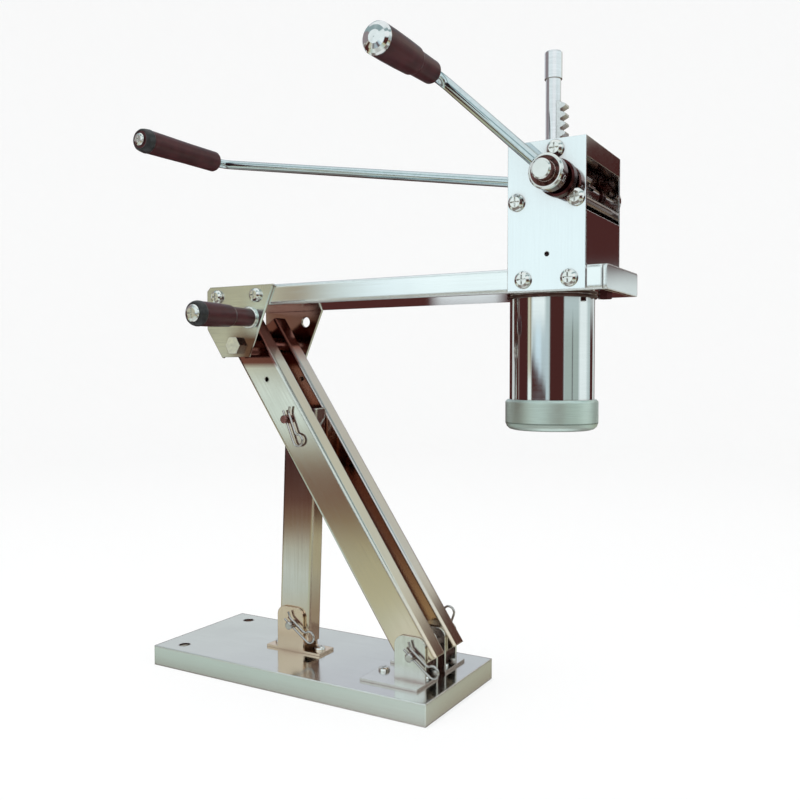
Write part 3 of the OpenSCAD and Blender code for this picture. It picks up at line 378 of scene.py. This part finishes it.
# Rails and strut: rectangular stainless tube with a satin polish along its length.
# The two rails lean to the left from the tray's right end, and the strut stands between them.
# Painted reflections tint the metal: tan at the foot, dark brown higher up.
tube_satin = dict(
    stretch=(900.0, 900.0, 18.0),
    round_r=0.0022,
    line_depth=0.000006,
    shade=0.07,
    spread=0.06,
    reach=0.07,
    shade_tint=(0.80, 0.46, 0.36),
)
rail_lean = math.radians(34.0)
for name, colour in (("front_rail", (0.74, 0.75, 0.70)), ("rear_rail", (0.71, 0.71, 0.72))):
    rail_tube = steel(name + "_satin", colour, 0.09, lay=(0.0, rail_lean, 0.0), **tube_satin)
    tree = rail_tube.node_tree
    # Painted reflections: tan near the tray, dark brown near the top.
    tan_reflection_low = band(tree, "Z", 0.130, 0.050)
    dark_reflection_top = band(tree, "Z", 0.314, 0.330)
    front_face = band(tree, "Y", -0.5, -0.9, "Normal")
    # Painted shade darkens the front face just under the saddle.
    saddle_painted_shade = both(tree, front_face, band(tree, "Z", 0.3075, 0.3130))
    stain(rail_tube, tan_reflection_low, (0.80, 0.68, 0.54))
    stain(rail_tube, dark_reflection_top, (0.30, 0.12, 0.095))
    stain(rail_tube, saddle_painted_shade, (0.22, 0.085, 0.07))
    dress(rail_tube, name)


def rest(tree, share):
    """What a share leaves of the whole: one less the share."""
    return node(tree, "MapRange", [("Value", share)], From_Min=1.0, From_Max=0.0).outputs[0]


strut_tube = steel("strut_satin", (0.74, 0.75, 0.70), 0.09, **tube_satin)
tree = strut_tube.node_tree
# Painted reflections and shade on the strut: brown on its front and back faces, darkest high up, tan
# near the tray, and brown-tan low on its sides.
front_back = both(tree, band(tree, "X", 0.7, 0.3, "Normal"), band(tree, "X", -0.7, -0.3, "Normal"))
mid_painted_dark = both(tree, front_back, band(tree, "Z", 0.125, 0.175))
upper_painted_dark = both(tree, front_back, band(tree, "Z", 0.165, 0.215))
tan_reflection_low = band(tree, "Z", 0.085, 0.040)
foot_side_painted_tan = both(tree, rest(tree, front_back), band(tree, "Z", 0.140, 0.060))
stain(strut_tube, mid_painted_dark, (0.45, 0.33, 0.33))
stain(strut_tube, upper_painted_dark, (0.16, 0.08, 0.09))
stain(strut_tube, tan_reflection_low, (0.72, 0.58, 0.45))
stain(strut_tube, foot_side_painted_tan, (0.50, 0.33, 0.24))
dress(strut_tube, "strut")

# Stand pins and spring clips: drawn bright rod and wire, the clips bent to shape and pushed through
# the ends of the pins. The pin at the top of the strut is coloured brown.
pin_wire = steel(
    "drawn_wire",
    (0.62, 0.60, 0.59),
    0.14,
    stretch=(500.0, 500.0, 500.0),
    round_r=0.0003,
    cloud_scale=120.0,
    line_depth=0.000002,
    spread=0.12,
    reach=0.008,
)
dress(pin_wire, "strut_foot_pin", "rail_foot_pin", "r_clips", "pawl_pin")
brown_pin = steel(
    "brown_pin_steel",
    (0.36, 0.17, 0.16),
    0.2,
    stretch=(500.0, 500.0, 500.0),
    round_r=0.0003,
    cloud_scale=120.0,
    shade=0.3,
)
dress(brown_pin, "strut_top_pin")

# Saddle: stainless sheet folded to a channel, two cheeks and a web that rests on the rails.
# It is bolted to the arm and swings on the pivot bolt. Its inner faces are darkened with painted shade,
# and its front cheek has painted shade beside the pivot bolt and a painted pale reflection round the
# side grip.
saddle_sheet = steel(
    "saddle_satin",
    (0.74, 0.75, 0.68),
    0.13,
    stretch=(25.0, 900.0, 900.0),
    round_r=0.0008,
    line_depth=0.000006,
    shade=0.07,
    spread=0.08,
    reach=0.10,
)
tree = saddle_sheet.node_tree
inner_painted_shade = both(tree, band(tree, "Y", -0.0452, -0.0449), band(tree, "Y", 0.0452, 0.0449))
front_cheek = band(tree, "Y", -0.0462, -0.0468)
corner_painted_shade = both(tree, front_cheek, band(tree, "X", 0.080, 0.106), band(tree, "Z", 0.356, 0.336))
painted_pale_reflection = both(
    tree,
    front_cheek,
    band(tree, "X", 0.100, 0.120),
    band(tree, "Z", 0.336, 0.350),
    band(tree, "Z", 0.388, 0.366),
)
# Painted shade on the inner faces and beside the pivot bolt, painted pale reflection round the side
# grip.
stain(saddle_sheet, inner_painted_shade, (0.26, 0.095, 0.08))
stain(saddle_sheet, corner_painted_shade, (0.20, 0.11, 0.075))
stain(saddle_sheet, painted_pale_reflection, (0.88, 1.0, 0.98))
dress(saddle_sheet, "saddle")

# Arm: wide flat stainless tube, polished along its length and bolted between the cheeks of the saddle.
# A plate with a plug closes its right end, and a screw from below holds the plug.
arm_polish = steel(
    "arm_polish",
    (0.93, 0.97, 0.98),
    0.07,
    round_r=0.0022,
    line_depth=0.000005,
    shade=0.04,
    spread=0.05,
    reach=0.04,
)
dress(arm_polish, "arm", "arm_end_cap")

# Head plates: polished stainless sheet, cut and drilled.
# They are screwed to the arm, the tie bars and the rod guide, and the bushes sit in them.
plate_polish = steel(
    "plate_polish",
    (0.87, 0.93, 0.96),
    0.05,
    stretch=(900.0, 900.0, 20.0),
    round_r=0.0008,
    line_depth=0.000002,
    shade=0.03,
    spread=0.04,
    reach=0.06,
)
dress(plate_polish, "front_plate", "rear_plate", "side_plates")

# Inside the head: a bored guide block, a turned shaft with its sleeves, and dark tie bars that hold
# the plates apart. Pinion, ratchet wheel, pawl and rack are cut steel, a little duller than the shaft.
turned_bar = steel(
    "turned_bar",
    (0.72, 0.72, 0.71),
    0.08,
    stretch=(60.0, 900.0, 60.0),
    line_depth=0.000004,
    spread=0.08,
    reach=0.05,
)
dress(turned_bar, "rod_guide", "pinion_shaft", "shaft_sleeves")
tie_dark = steel(
    "tie_dark",
    (0.32, 0.25, 0.23),
    0.16,
    stretch=(60.0, 900.0, 60.0),
    round_r=0.0008,
    reach=0.05,
)
dress(tie_dark, "tie_bars")
cut_teeth = steel(
    "cut_teeth",
    (0.76, 0.77, 0.78),
    0.12,
    stretch=(700.0, 40.0, 700.0),
    round_r=0.0005,
    shade=0.15,
    cloud_scale=60.0,
    line_depth=0.000004,
    reach=0.008,
)
dress(cut_teeth, "pinion", "ratchet_wheel", "pawl", "rack_bar")

# Bushes: dark metal, turned. Each bush is pressed into its head plate and keeps a flange outside it.
# The screw of the arm's end cap wears the same dark finish as painted shade, for it sits under the arm.
bush_dark_and_screw_shade = steel(
    "bush_bronze_and_screw_shade",
    (0.075, 0.022, 0.022),
    0.2,
    stretch=(500.0, 500.0, 500.0),
    round_r=0.0005,
    cloud_scale=60.0,
    shade=0.3,
    edge_highlight_lift=0.006,
)
dress(bush_dark_and_screw_shade, "front_bush", "rear_bush", "end_cap_screw")

# Hubs: turned steel, one locked to the shaft for the crank, one that swings on it for the press lever.
# The crank's hub carries a painted dark reflection everywhere but on its boss and the rim of its front
# face.
hub_turned = steel(
    "hub_turned",
    (0.82, 0.84, 0.82),
    0.08,
    stretch=(90.0, 900.0, 90.0),
    round_r=0.0008,
    line_depth=0.000004,
    spread=0.06,
    reach=0.012,
)
dress(hub_turned, "lever_hub")
hub_low, hub_high = box("crank_hub")
shaft_axis = (0.5 * (hub_low[0] + hub_high[0]), 0.0, 0.5 * (hub_low[2] + hub_high[2]))
boss_r, rim_r, rim_blend = 0.0080, 0.0122, 0.0006
hub_painted_dark = hub_turned.copy()
hub_painted_dark.name = "hub_painted_dark"
tree = hub_painted_dark.node_tree
spot = node(tree, "TexCoord")
from_axis = node(tree, "VectorMath", [(0, spot.outputs["Object"])], operation="SUBTRACT")
from_axis.inputs[1].default_value = shaft_axis
across = node(tree, "VectorMath", [(0, from_axis.outputs[0])], operation="MULTIPLY")
across.inputs[1].default_value = (1.0, 0.0, 1.0)
radial = node(tree, "VectorMath", [(0, across.outputs[0])], operation="LENGTH").outputs["Value"]
boss = node(tree, "MapRange", [("Value", radial)], From_Min=boss_r + rim_blend, From_Max=boss_r)
rim = node(tree, "MapRange", [("Value", radial)], From_Min=rim_r - rim_blend, From_Max=rim_r)
front_rim = both(tree, rim.outputs[0], band(tree, "Y", -0.0718, -0.0734))
kept_bright = node(tree, "Math", [(0, front_rim), (1, boss.outputs[0])], operation="MAXIMUM")
# Painted dark reflection over the hub, but for its boss and front rim.
stain(hub_painted_dark, rest(tree, kept_bright.outputs[0]), (0.13, 0.055, 0.050))
dress(hub_painted_dark, "crank_hub")

# Rods: drawn bar, bent cold; the rods of the crank and the press lever are plated and fixed in the hubs.
# The plunger's rod and its collar are turned and left bright.
rod_plate = steel(
    "rod_plating",
    (0.64, 0.73, 0.76),
    0.07,
    stretch=(300.0, 300.0, 300.0),
    round_r=0.0005,
    cloud_scale=40.0,
    line_depth=0.000002,
    spread=0.06,
    reach=0.01,
)
dress(rod_plate, "crank_rod", "lever_rod")
plunger_bar = steel(
    "plunger_bar",
    (0.82, 0.84, 0.87),
    0.08,
    stretch=(60.0, 60.0, 900.0),
    round_r=0.0005,
    cloud_scale=40.0,
    line_depth=0.000002,
    spread=0.06,
    reach=0.01,
)
dress(plunger_bar, "plunger_rod", "rod_collar")

# Grips: dark red-brown plastic, moulded and turned smooth, with a faint flow and fine pits.
# The crank's and the press lever's grips turn on the bent ends of their rods; the side grip is bolted.


def moulding(name, scale, detail, dark, light, stops=(0.0, 1.0), rough=None):
    """Plastic or rubber: one noise runs the colour from dark to light and, if given, the roughness."""
    finish = bpy.data.materials.new(name)
    finish.use_nodes = True
    tree = finish.node_tree
    skin = tree.nodes["Principled BSDF"]
    spot = node(tree, "TexCoord")
    flow = node(tree, "TexNoise", [("Vector", spot.outputs["Object"])], Scale=scale, Detail=detail)
    tint = node(tree, "ValToRGB", [(0, flow.outputs[0])])
    for element, stop, colour in zip(tint.color_ramp.elements, stops, (dark, light)):
        element.position = stop
        element.color = colour + (1.0,)
    tree.links.new(tint.outputs[0], skin.inputs["Base Color"])
    if rough:
        sheen = node(
            tree, "MapRange", [("Value", flow.outputs[0])], To_Min=rough[0], To_Max=rough[1]
        )
        tree.links.new(sheen.outputs[0], skin.inputs["Roughness"])
    return finish


grip_colour = np.array((0.046, 0.011, 0.013))
grip_mould = moulding(
    "grip_moulding",
    70.0,
    5.0,
    tuple(0.75 * grip_colour),
    tuple(1.25 * grip_colour),
    stops=(0.35, 0.68),
    rough=(0.26, 0.42),
)
tree = grip_mould.node_tree
skin = tree.nodes["Principled BSDF"]
skin.inputs["Specular IOR Level"].default_value = 0.3
skin.inputs["Coat Weight"].default_value = 0.06
skin.inputs["Coat Roughness"].default_value = 0.22
spot = node(tree, "TexCoord")
pits = node(tree, "TexNoise", [("Vector", spot.outputs["Object"])], Scale=1600.0, Detail=2.0)
pitted = node(tree, "Bump", [("Height", pits.outputs[0])], Distance=0.00004, Strength=0.35)
tree.links.new(pitted.outputs[0], skin.inputs["Normal"])
dress(grip_mould, "side_grip", "crank_grip", "press_grip")

# End rings: black plastic, pressed over the outer ends of the side grip and the press lever's grip.
# A zinc plated washer seats the inner end of the side grip on the saddle.
ring_black = moulding(
    "ring_black", 420.0, 4.0, (0.006, 0.006, 0.007), (0.022, 0.021, 0.022), rough=(0.22, 0.4)
)


def turned_ring(name, grip, start, profile):
    """Ring turned about a grip's axis along Y: each (y past the start, radius) of the closed profile
    goes once round."""
    low, high = box(grip)
    turn = np.radians(np.arange(0, 360, 6))
    y, rad = np.array(profile + profile[:1]).T
    points = np.stack(
        [
            0.5 * (low[0] + high[0]) + rad[:, None] * np.cos(turn),
            start + y[:, None] + 0.0 * turn,
            0.5 * (low[2] + high[2]) + rad[:, None] * np.sin(turn),
        ],
        axis=-1,
    )
    piece = grid_mesh(name, points, True)
    close_up(piece)
    return piece


side_ring = turned_ring(
    "side_grip_ring",
    "side_grip",
    box("side_grip")[0][1],
    [
        (0.0070, 0.0110),
        (0.0070, 0.01165),
        (0.0064, 0.0119),
        (0.0045, 0.0119),
        (0.0021, 0.0114),
        (0.0004, 0.0106),
        (-0.0004, 0.0096),
        (-0.0004, 0.0083),
        (0.0003, 0.0083),
        (0.0020, 0.0103),
    ],
)
fit_out(side_ring, ring_black, "arm")
washer = turned_ring(
    "side_grip_washer",
    "side_grip",
    box("saddle")[0][1],
    [(0.0, 0.0070), (0.0, 0.0107), (-0.0018, 0.0107), (-0.0023, 0.0102), (-0.0023, 0.0070)],
)
fit_out(washer, zinc, "arm")
press_ring = turned_ring(
    "press_grip_ring",
    "press_grip",
    box("press_grip")[0][1],
    [
        (0.0100, 0.0117),
        (0.0100, 0.0124),
        (0.0093, 0.0126),
        (0.0085, 0.0126),
        (0.0039, 0.0121),
        (0.0013, 0.0115),
        (-0.0002, 0.0103),
        (-0.0003, 0.0090),
        (0.0004, 0.0090),
        (0.0023, 0.0109),
    ],
)
fit_out(press_ring, ring_black, "press_handle")

# End cap of the crank grip: pressed from thin sheet and chromed.
# It is pushed on the end of the moulding and covers the end of the rod.
cap_chrome = steel(
    "cap_chrome",
    (0.86, 0.87, 0.88),
    0.05,
    stretch=(200.0, 200.0, 200.0),
    round_r=0.0003,
    cloud_scale=60.0,
    spread=0.06,
)
dress(cap_chrome, "crank_grip_cap")

# Barrel: stainless tube polished to a mirror, which the piston runs in.
# It is welded under the arm by one rippled bead, coloured dark as painted shade under the arm.
barrel_mirror = steel(
    "barrel_mirror",
    (0.84, 0.86, 0.86),
    0.045,
    stretch=(40.0, 40.0, 900.0),
    line_depth=0.000003,
    spread=0.04,
    shade=0.04,
    reach=0.012,
)
dress(barrel_mirror, "barrel")


def weld_bead(name, centre, radius, size, ripples):
    """Bead round an upright axis: a small circle swept round, whose size swells once per ripple and
    follows a slow wave."""
    ripple_height, wave_height, waves = 0.13, 0.05, 7.0
    turn = np.radians(np.arange(0, 360, 1.5))
    part = np.radians(np.arange(0, 390, 30))[:, None]
    ripple = ripple_height * np.abs(np.sin(0.5 * ripples * turn))
    swell = size * (1.0 + ripple + wave_height * np.sin(waves * turn))
    rad = radius + swell * np.cos(part)
    points = np.stack(
        [
            centre[0] + rad * np.cos(turn),
            centre[1] + rad * np.sin(turn),
            centre[2] + swell * np.sin(part),
        ],
        axis=-1,
    )
    piece = grid_mesh(name, points, True)
    close_up(piece)
    return piece


weld_painted_shade = steel(
    "weld_painted_shade",
    (0.14, 0.075, 0.065),
    0.28,
    stretch=(300.0, 300.0, 900.0),
    round_r=0.0003,
    shade=0.45,
    cloud_scale=140.0,
    edge_highlight_lift=0.02,
)
barrel_low, barrel_high = box("barrel")
weld_r, bead_r, bead_drop, ripples = 0.0369, 0.0014, 0.0015, 72
weld_mid = (0.5 * (barrel_low[0] + barrel_high[0]), 0.0, box("arm")[0][2] - bead_drop)
bead = weld_bead("barrel_weld", weld_mid, weld_r, bead_r, ripples)
fit_out(bead, weld_painted_shade, "arm")

# Screw cap, piston and die: cap and piston are cast alloy, turned outside and left satin.
# A fine dark line runs round the cap at the height of the drilled steel die that lies in it.
# A rubber ring seals the piston.
cast_alloy = steel(
    "cast_alloy",
    (0.80, 0.94, 0.90),
    0.38,
    stretch=(60.0, 60.0, 1300.0),
    round_r=0.0014,
    spread=0.12,
    cloud_scale=45.0,
)
line_rise, line_half, line_edge = 0.00625, 0.0003, 0.0007
line_z = box("cap_ring")[0][2] + line_rise
tree = cast_alloy.node_tree
dark_line = both(
    tree,
    band(tree, "Z", line_z - line_edge, line_z - line_half),
    band(tree, "Z", line_z + line_edge, line_z + line_half),
)
stain(cast_alloy, dark_line, (0.34, 0.42, 0.40))
dress(cast_alloy, "cap_ring", "piston")
die_steel = steel(
    "die_steel", (0.74, 0.75, 0.73), 0.25, stretch=(500.0, 500.0, 500.0), round_r=0.0004
)
dress(die_steel, "die_plate")
seal_rubber = moulding("seal_rubber", 300.0, 3.0, (0.012, 0.012, 0.012), (0.03, 0.03, 0.03))
dress(seal_rubber, "piston_seal")

# Floor: a round pale sheet that sweeps up into the backdrop.
# The camera sees it plain white, except for the press's shadow close to the tray.
floor_x, floor_flat, floor_bend, wall_top = 0.2, 2.4, 1.0, 4.0
bend = np.radians(np.linspace(-90.0, 0.0, 13))
flat_r = np.linspace(0.0, floor_flat, 9)[:-1]
bend_r = floor_flat + floor_bend * np.cos(bend)
floor_r = np.concatenate([flat_r, bend_r, bend_r[-1:]])
floor_z = np.concatenate([0.0 * flat_r, floor_bend + floor_bend * np.sin(bend), [wall_top]])
round_a = np.radians(np.linspace(0.0, 360.0, 73))
floor = grid_mesh(
    "floor",
    np.stack(
        [
            floor_x + floor_r[:, None] * np.cos(round_a),
            floor_r[:, None] * np.sin(round_a),
            floor_z[:, None] + 0.0 * round_a,
        ],
        axis=-1,
    ),
    False,
)
close_up(floor)
floor_white = bpy.data.materials.new("floor_white")
floor_white.use_nodes = True
tree = floor_white.node_tree
tree.nodes.remove(tree.nodes["Principled BSDF"])
matt = node(tree, "BsdfDiffuse")
matt.inputs["Color"].default_value = (0.96, 0.97, 0.97, 1.0)
plain = node(tree, "Emission")
plain.inputs["Color"].default_value = (1.0, 1.0, 1.0, 1.0)
shadow_mid, shadow_x, shadow_y, most_white = (0.16, 0.0, 0.0), 0.150, 0.058, 0.86
shadow_fade = 0.014
spot = node(tree, "TexCoord")
from_tray = node(tree, "VectorMath", [(0, spot.outputs["Object"])], operation="SUBTRACT")
from_tray.inputs[1].default_value = shadow_mid
away = node(tree, "VectorMath", [(0, from_tray.outputs[0])], operation="ABSOLUTE")
away = node(tree, "SeparateXYZ", [("Vector", away.outputs[0])])
past_x, past_y = (
    node(
        tree,
        "MapRange",
        [("Value", away.outputs[axis])],
        From_Min=start,
        From_Max=start + shadow_fade,
        To_Max=most_white,
    )
    for axis, start in (("X", shadow_x), ("Y", shadow_y))
)
clear = node(
    tree, "Math", [(0, past_x.outputs[0]), (1, past_y.outputs[0])], operation="MAXIMUM"
)
ray = node(tree, "LightPath")
white = both(tree, ray.outputs["Is Camera Ray"], clear.outputs[0])
shown = node(tree, "MixShader", [(0, white), (1, matt.outputs[0]), (2, plain.outputs[0])])
tree.links.new(shown.outputs[0], tree.nodes["Material Output"].inputs["Surface"])
floor.data.materials.append(floor_white)
floor.visible_glossy = False

# Tent: a ball of pale and brown panels round the press, which only polished metal and gloss show.
# Angles are in degrees: t goes round the press from the camera's side to the right, r is the height
# above the horizon.
pale, cyan, teal = (0.70, 0.75, 0.74), (0.90, 1.0, 1.0), (0.50, 0.60, 0.60)
bright, olive, brown = (0.86, 0.95, 0.95), (0.62, 0.62, 0.47), (0.070, 0.022, 0.020)
drab, slate, lamp_white = (0.34, 0.29, 0.21), (0.54, 0.55, 0.62), (0.95, 1.0, 1.0)
tent_r, tent_mid, camera_side = 6.0, (0.25, 0.0, 0.3), -60.0
turn = np.linspace(-180.0, 180.0, 361)
rise = np.linspace(-90.0, 90.0, 241)
t_grid, r_grid = np.meshgrid(turn, rise, indexing="ij")


def along(value, *stops):
    """Colour at each value, blended in a straight line between the stops (value, colour)."""
    at = [stop for stop, colour in stops]
    table = np.array([colour for stop, colour in stops])
    return np.stack([np.interp(value, at, table[:, k]) for k in range(3)], axis=-1)


def ramp(value, low, high):
    """0 below low, 1 above high and a smooth rise between them."""
    x = np.clip((value - low) / (high - low), 0.0, 1.0)
    return x * x * (3.0 - 2.0 * x)


def lay_over(base, mask, colour):
    """Base colours with another colour laid over them by a mask."""
    return base + mask[..., None] * (np.array(colour) - base)


tent = along(
    t_grid,
    (-180, pale),
    (-137, pale),
    (-77, olive),
    (-70.5, olive),
    (-68.5, drab),
    (-67, drab),
    (-64.5, (0.60, 0.68, 0.66)),
    (-61, (0.84, 0.95, 0.97)),
    (-57, cyan),
    (-30, cyan),
    (-22, teal),
    (64, teal),
    (72, bright),
    (92, bright),
    (104, teal),
    (138, pale),
    (180, pale),
)
ceiling = along(
    t_grid,
    (-180, slate),
    (-140, (0.66, 0.68, 0.70)),
    (-80, bright),
    (100, bright),
    (130, (0.66, 0.63, 0.52)),
    (160, slate),
    (180, slate),
)
ground = along(
    r_grid,
    (-90, (0.80, 0.84, 0.82)),
    (-60, (0.80, 0.84, 0.82)),
    (-50, (0.22, 0.19, 0.17)),
    (-36, (0.22, 0.19, 0.17)),
    (-28, (0.78, 0.84, 0.80)),
    (-22, (0.52, 0.62, 0.56)),
    (-18.6, (0.52, 0.62, 0.55)),
    (-17.2, (0.56, 0.56, 0.39)),
    (-13, (0.50, 0.44, 0.28)),
    (-11.4, (0.29, 0.20, 0.11)),
    (-10, (0.22, 0.13, 0.09)),
    (-7, (0.22, 0.13, 0.09)),
    (-5.6, (0.46, 0.42, 0.30)),
    (-4.4, (0.84, 0.97, 0.91)),
    (0, (0.90, 1.0, 0.97)),
)
rail_side = ramp(t_grid, -90.0, -80.0) * ramp(-t_grid, 54.0, 58.0)
lower = rail_side * ramp(-r_grid, -0.3, 1.0) + (1.0 - rail_side) * ramp(-r_grid, 2.6, 5.0)
tent = lay_over(tent, ramp(r_grid, 9.0, 22.0), ceiling)
tent = lay_over(tent, ramp(r_grid, 50.0, 66.0), (0.92, 0.97, 0.97))
tent = lay_over(tent, lower, ground)
# Each panel has its colour, its span in t, its span in r, and how far its sides and its top fade.
foot_fade = 0.8
for colour, t0, t1, r0, r1, side_fade, top_fade in (
    (brown, -134.0, -76.0, -12.0, 11.0, 2.0, 2.0),
    (brown, -14.0, 23.0, -12.0, 11.0, 2.0, 2.0),
    (brown, 112.0, 129.0, -14.0, 4.0, 2.0, 2.0),
    (brown, 146.0, 200.0, -40.0, 7.0, 2.0, 2.0),
    (brown, -200.0, -146.0, -40.0, 7.0, 2.0, 2.0),
    ((0.30, 0.26, 0.24), -111.5, -108.5, -12.0, 11.0, 2.0, 2.0),
    ((0.30, 0.26, 0.27), -134.0, -76.0, 13.0, 46.0, 2.0, 2.0),
    (lamp_white, -20.0, 28.0, 13.0, 34.0, 2.0, 2.0),
    (brown, 112.0, 160.0, 6.9, 16.6, 2.0, 0.6),
    ((0.66, 0.72, 0.70), -80.0, -65.8, -18.0, -13.0, 0.6, 2.0),
    (lamp_white, -60.0, -56.5, -20.5, -18.0, 0.8, 2.0),
    ((0.44, 0.43, 0.33), 118.0, 150.0, -26.0, -17.0, 2.0, 2.0),
    ((0.85, 0.92, 0.94), 172.6, 177.4, -10.0, -3.6, 0.6, 0.8),
    ((0.52, 0.63, 0.66), -62.0, -18.0, -6.0, 3.4, 1.0, 1.0),
    ((0.68, 0.85, 0.93), -53.0, -37.0, -6.0, 3.4, 5.0, 1.0),
    ((0.39, 0.47, 0.44), 25.0, 66.0, -6.0, 3.4, 1.0, 1.0),
    ((0.13, 0.14, 0.14), 45.6, 48.4, -6.0, 3.4, 1.0, 1.0),
    ((0.30, 0.40, 0.41), -200.0, 200.0, 36.0, 48.0, 2.0, 2.0),
):
    mask = ramp(t_grid, t0 - side_fade, t0 + side_fade)
    mask = mask * ramp(-t_grid, -t1 - side_fade, -t1 + side_fade)
    mask = mask * ramp(r_grid, r0 - foot_fade, r0 + foot_fade)
    mask = mask * ramp(-r_grid, -r1 - top_fade, -r1 + top_fade)
    tent = lay_over(tent, mask, colour)
# The last panel has a slanted edge, which falls to the right and shows low on the barrel.
slant_edge = -72.0 + 17.0 * (1.6 - r_grid)
slant = ramp(slant_edge - t_grid, -8.0, 6.0)
slant = slant * ramp(t_grid, -65.5, -64.0) * ramp(-24.0 - t_grid, -2.0, 2.0)
slant = slant * ramp(r_grid, -3.4, -2.4) * ramp(-r_grid, -2.2, -1.6)
tent = lay_over(tent, slant, brown)
t_rad, r_rad = np.radians(t_grid + camera_side), np.radians(r_grid)
surround = grid_mesh(
    "surround",
    np.stack(
        [
            tent_mid[0] + tent_r * np.cos(r_rad) * np.cos(t_rad),
            tent_mid[1] + tent_r * np.cos(r_rad) * np.sin(t_rad),
            tent_mid[2] + tent_r * np.sin(r_rad),
        ],
        axis=-1,
    ),
    False,
)
painted = surround.data.color_attributes.new("panels", "FLOAT_COLOR", "POINT")
tent_rgba = np.concatenate([tent, np.ones(tent.shape[:2] + (1,))], axis=-1)
painted.data.foreach_set("color", tent_rgba.ravel().astype(np.float32))
close_up(surround)
tent_cloth = bpy.data.materials.new("tent_cloth")
tent_cloth.use_nodes = True
tree = tent_cloth.node_tree
tree.nodes.remove(tree.nodes["Principled BSDF"])
panels = node(tree, "Attribute", attribute_name="panels")
glow = node(tree, "Emission", [("Color", panels.outputs["Color"])], Strength=1.0)
tree.links.new(glow.outputs[0], tree.nodes["Material Output"].inputs["Surface"])
surround.data.materials.append(tent_cloth)
surround.visible_camera = False
surround.visible_diffuse = False
surround.visible_shadow = False

# Lamps: three soft squares, in front at the left, above and at the right.
# They shape the matt pieces and the shadow; metal shows the tent instead of them.


def soft_lamp(name, colour, power, place, aim, size):
    """Square area lamp at a place, turned to face a point."""
    light = bpy.data.lights.new(name, "AREA")
    light.color = colour
    light.energy = power
    light.size = size
    lamp = bpy.data.objects.new(name, light)
    lamp.location = place
    away = np.array(place) - np.array(aim)
    tilt = math.atan2(math.hypot(away[0], away[1]), away[2])
    lamp.rotation_euler = (tilt, 0.0, math.atan2(away[0], -away[1]))
    lamp.visible_camera = False
    lamp.visible_glossy = False
    bpy.context.scene.collection.objects.link(lamp)


soft_lamp(
    "lamp_front_left",
    colour=(0.94, 0.99, 1.0),
    power=22.0,
    place=(-0.75, -1.6, 0.9),
    aim=(0.25, 0.0, 0.3),
    size=1.2,
)
soft_lamp(
    "lamp_top",
    colour=(0.98, 0.99, 1.0),
    power=18.0,
    place=(0.3, 0.1, 2.0),
    aim=(0.25, 0.0, 0.2),
    size=1.4,
)
soft_lamp(
    "lamp_right",
    colour=(0.95, 0.99, 0.98),
    power=8.0,
    place=(1.7, -0.4, 0.8),
    aim=(0.3, 0.0, 0.3),
    size=0.9,
)

# Air and camera: the camera sees white air, and everything else gets a dim, even fill from it.
# The camera stands in front at the right, a little below the arm, as in the photo.
air_fill = 0.45
world = bpy.data.worlds.new("studio")
bpy.context.scene.world = world
world.use_nodes = True
tree = world.node_tree
air = tree.nodes["Background"]
air.inputs["Color"].default_value = (1.0, 1.0, 1.0, 1.0)
ray = node(tree, "LightPath")
level = node(tree, "MapRange", [("Value", ray.outputs["Is Camera Ray"])], To_Min=air_fill)
tree.links.new(level.outputs[0], air.inputs["Strength"])
view_lens = bpy.data.cameras.new("photo_camera")
view_lens.lens = 38.97
view_lens.sensor_width = 36.0
view_lens.clip_end = 50.0
camera = bpy.data.objects.new("photo_camera", view_lens)
camera.location = (0.66673, -0.71112, 0.30512)
camera.rotation_euler = (math.radians(88.06), 0.0, math.radians(30.14))
bpy.context.scene.collection.objects.link(camera)
bpy.context.scene.camera = camera
bpy.context.scene.view_settings.view_transform = "Standard"
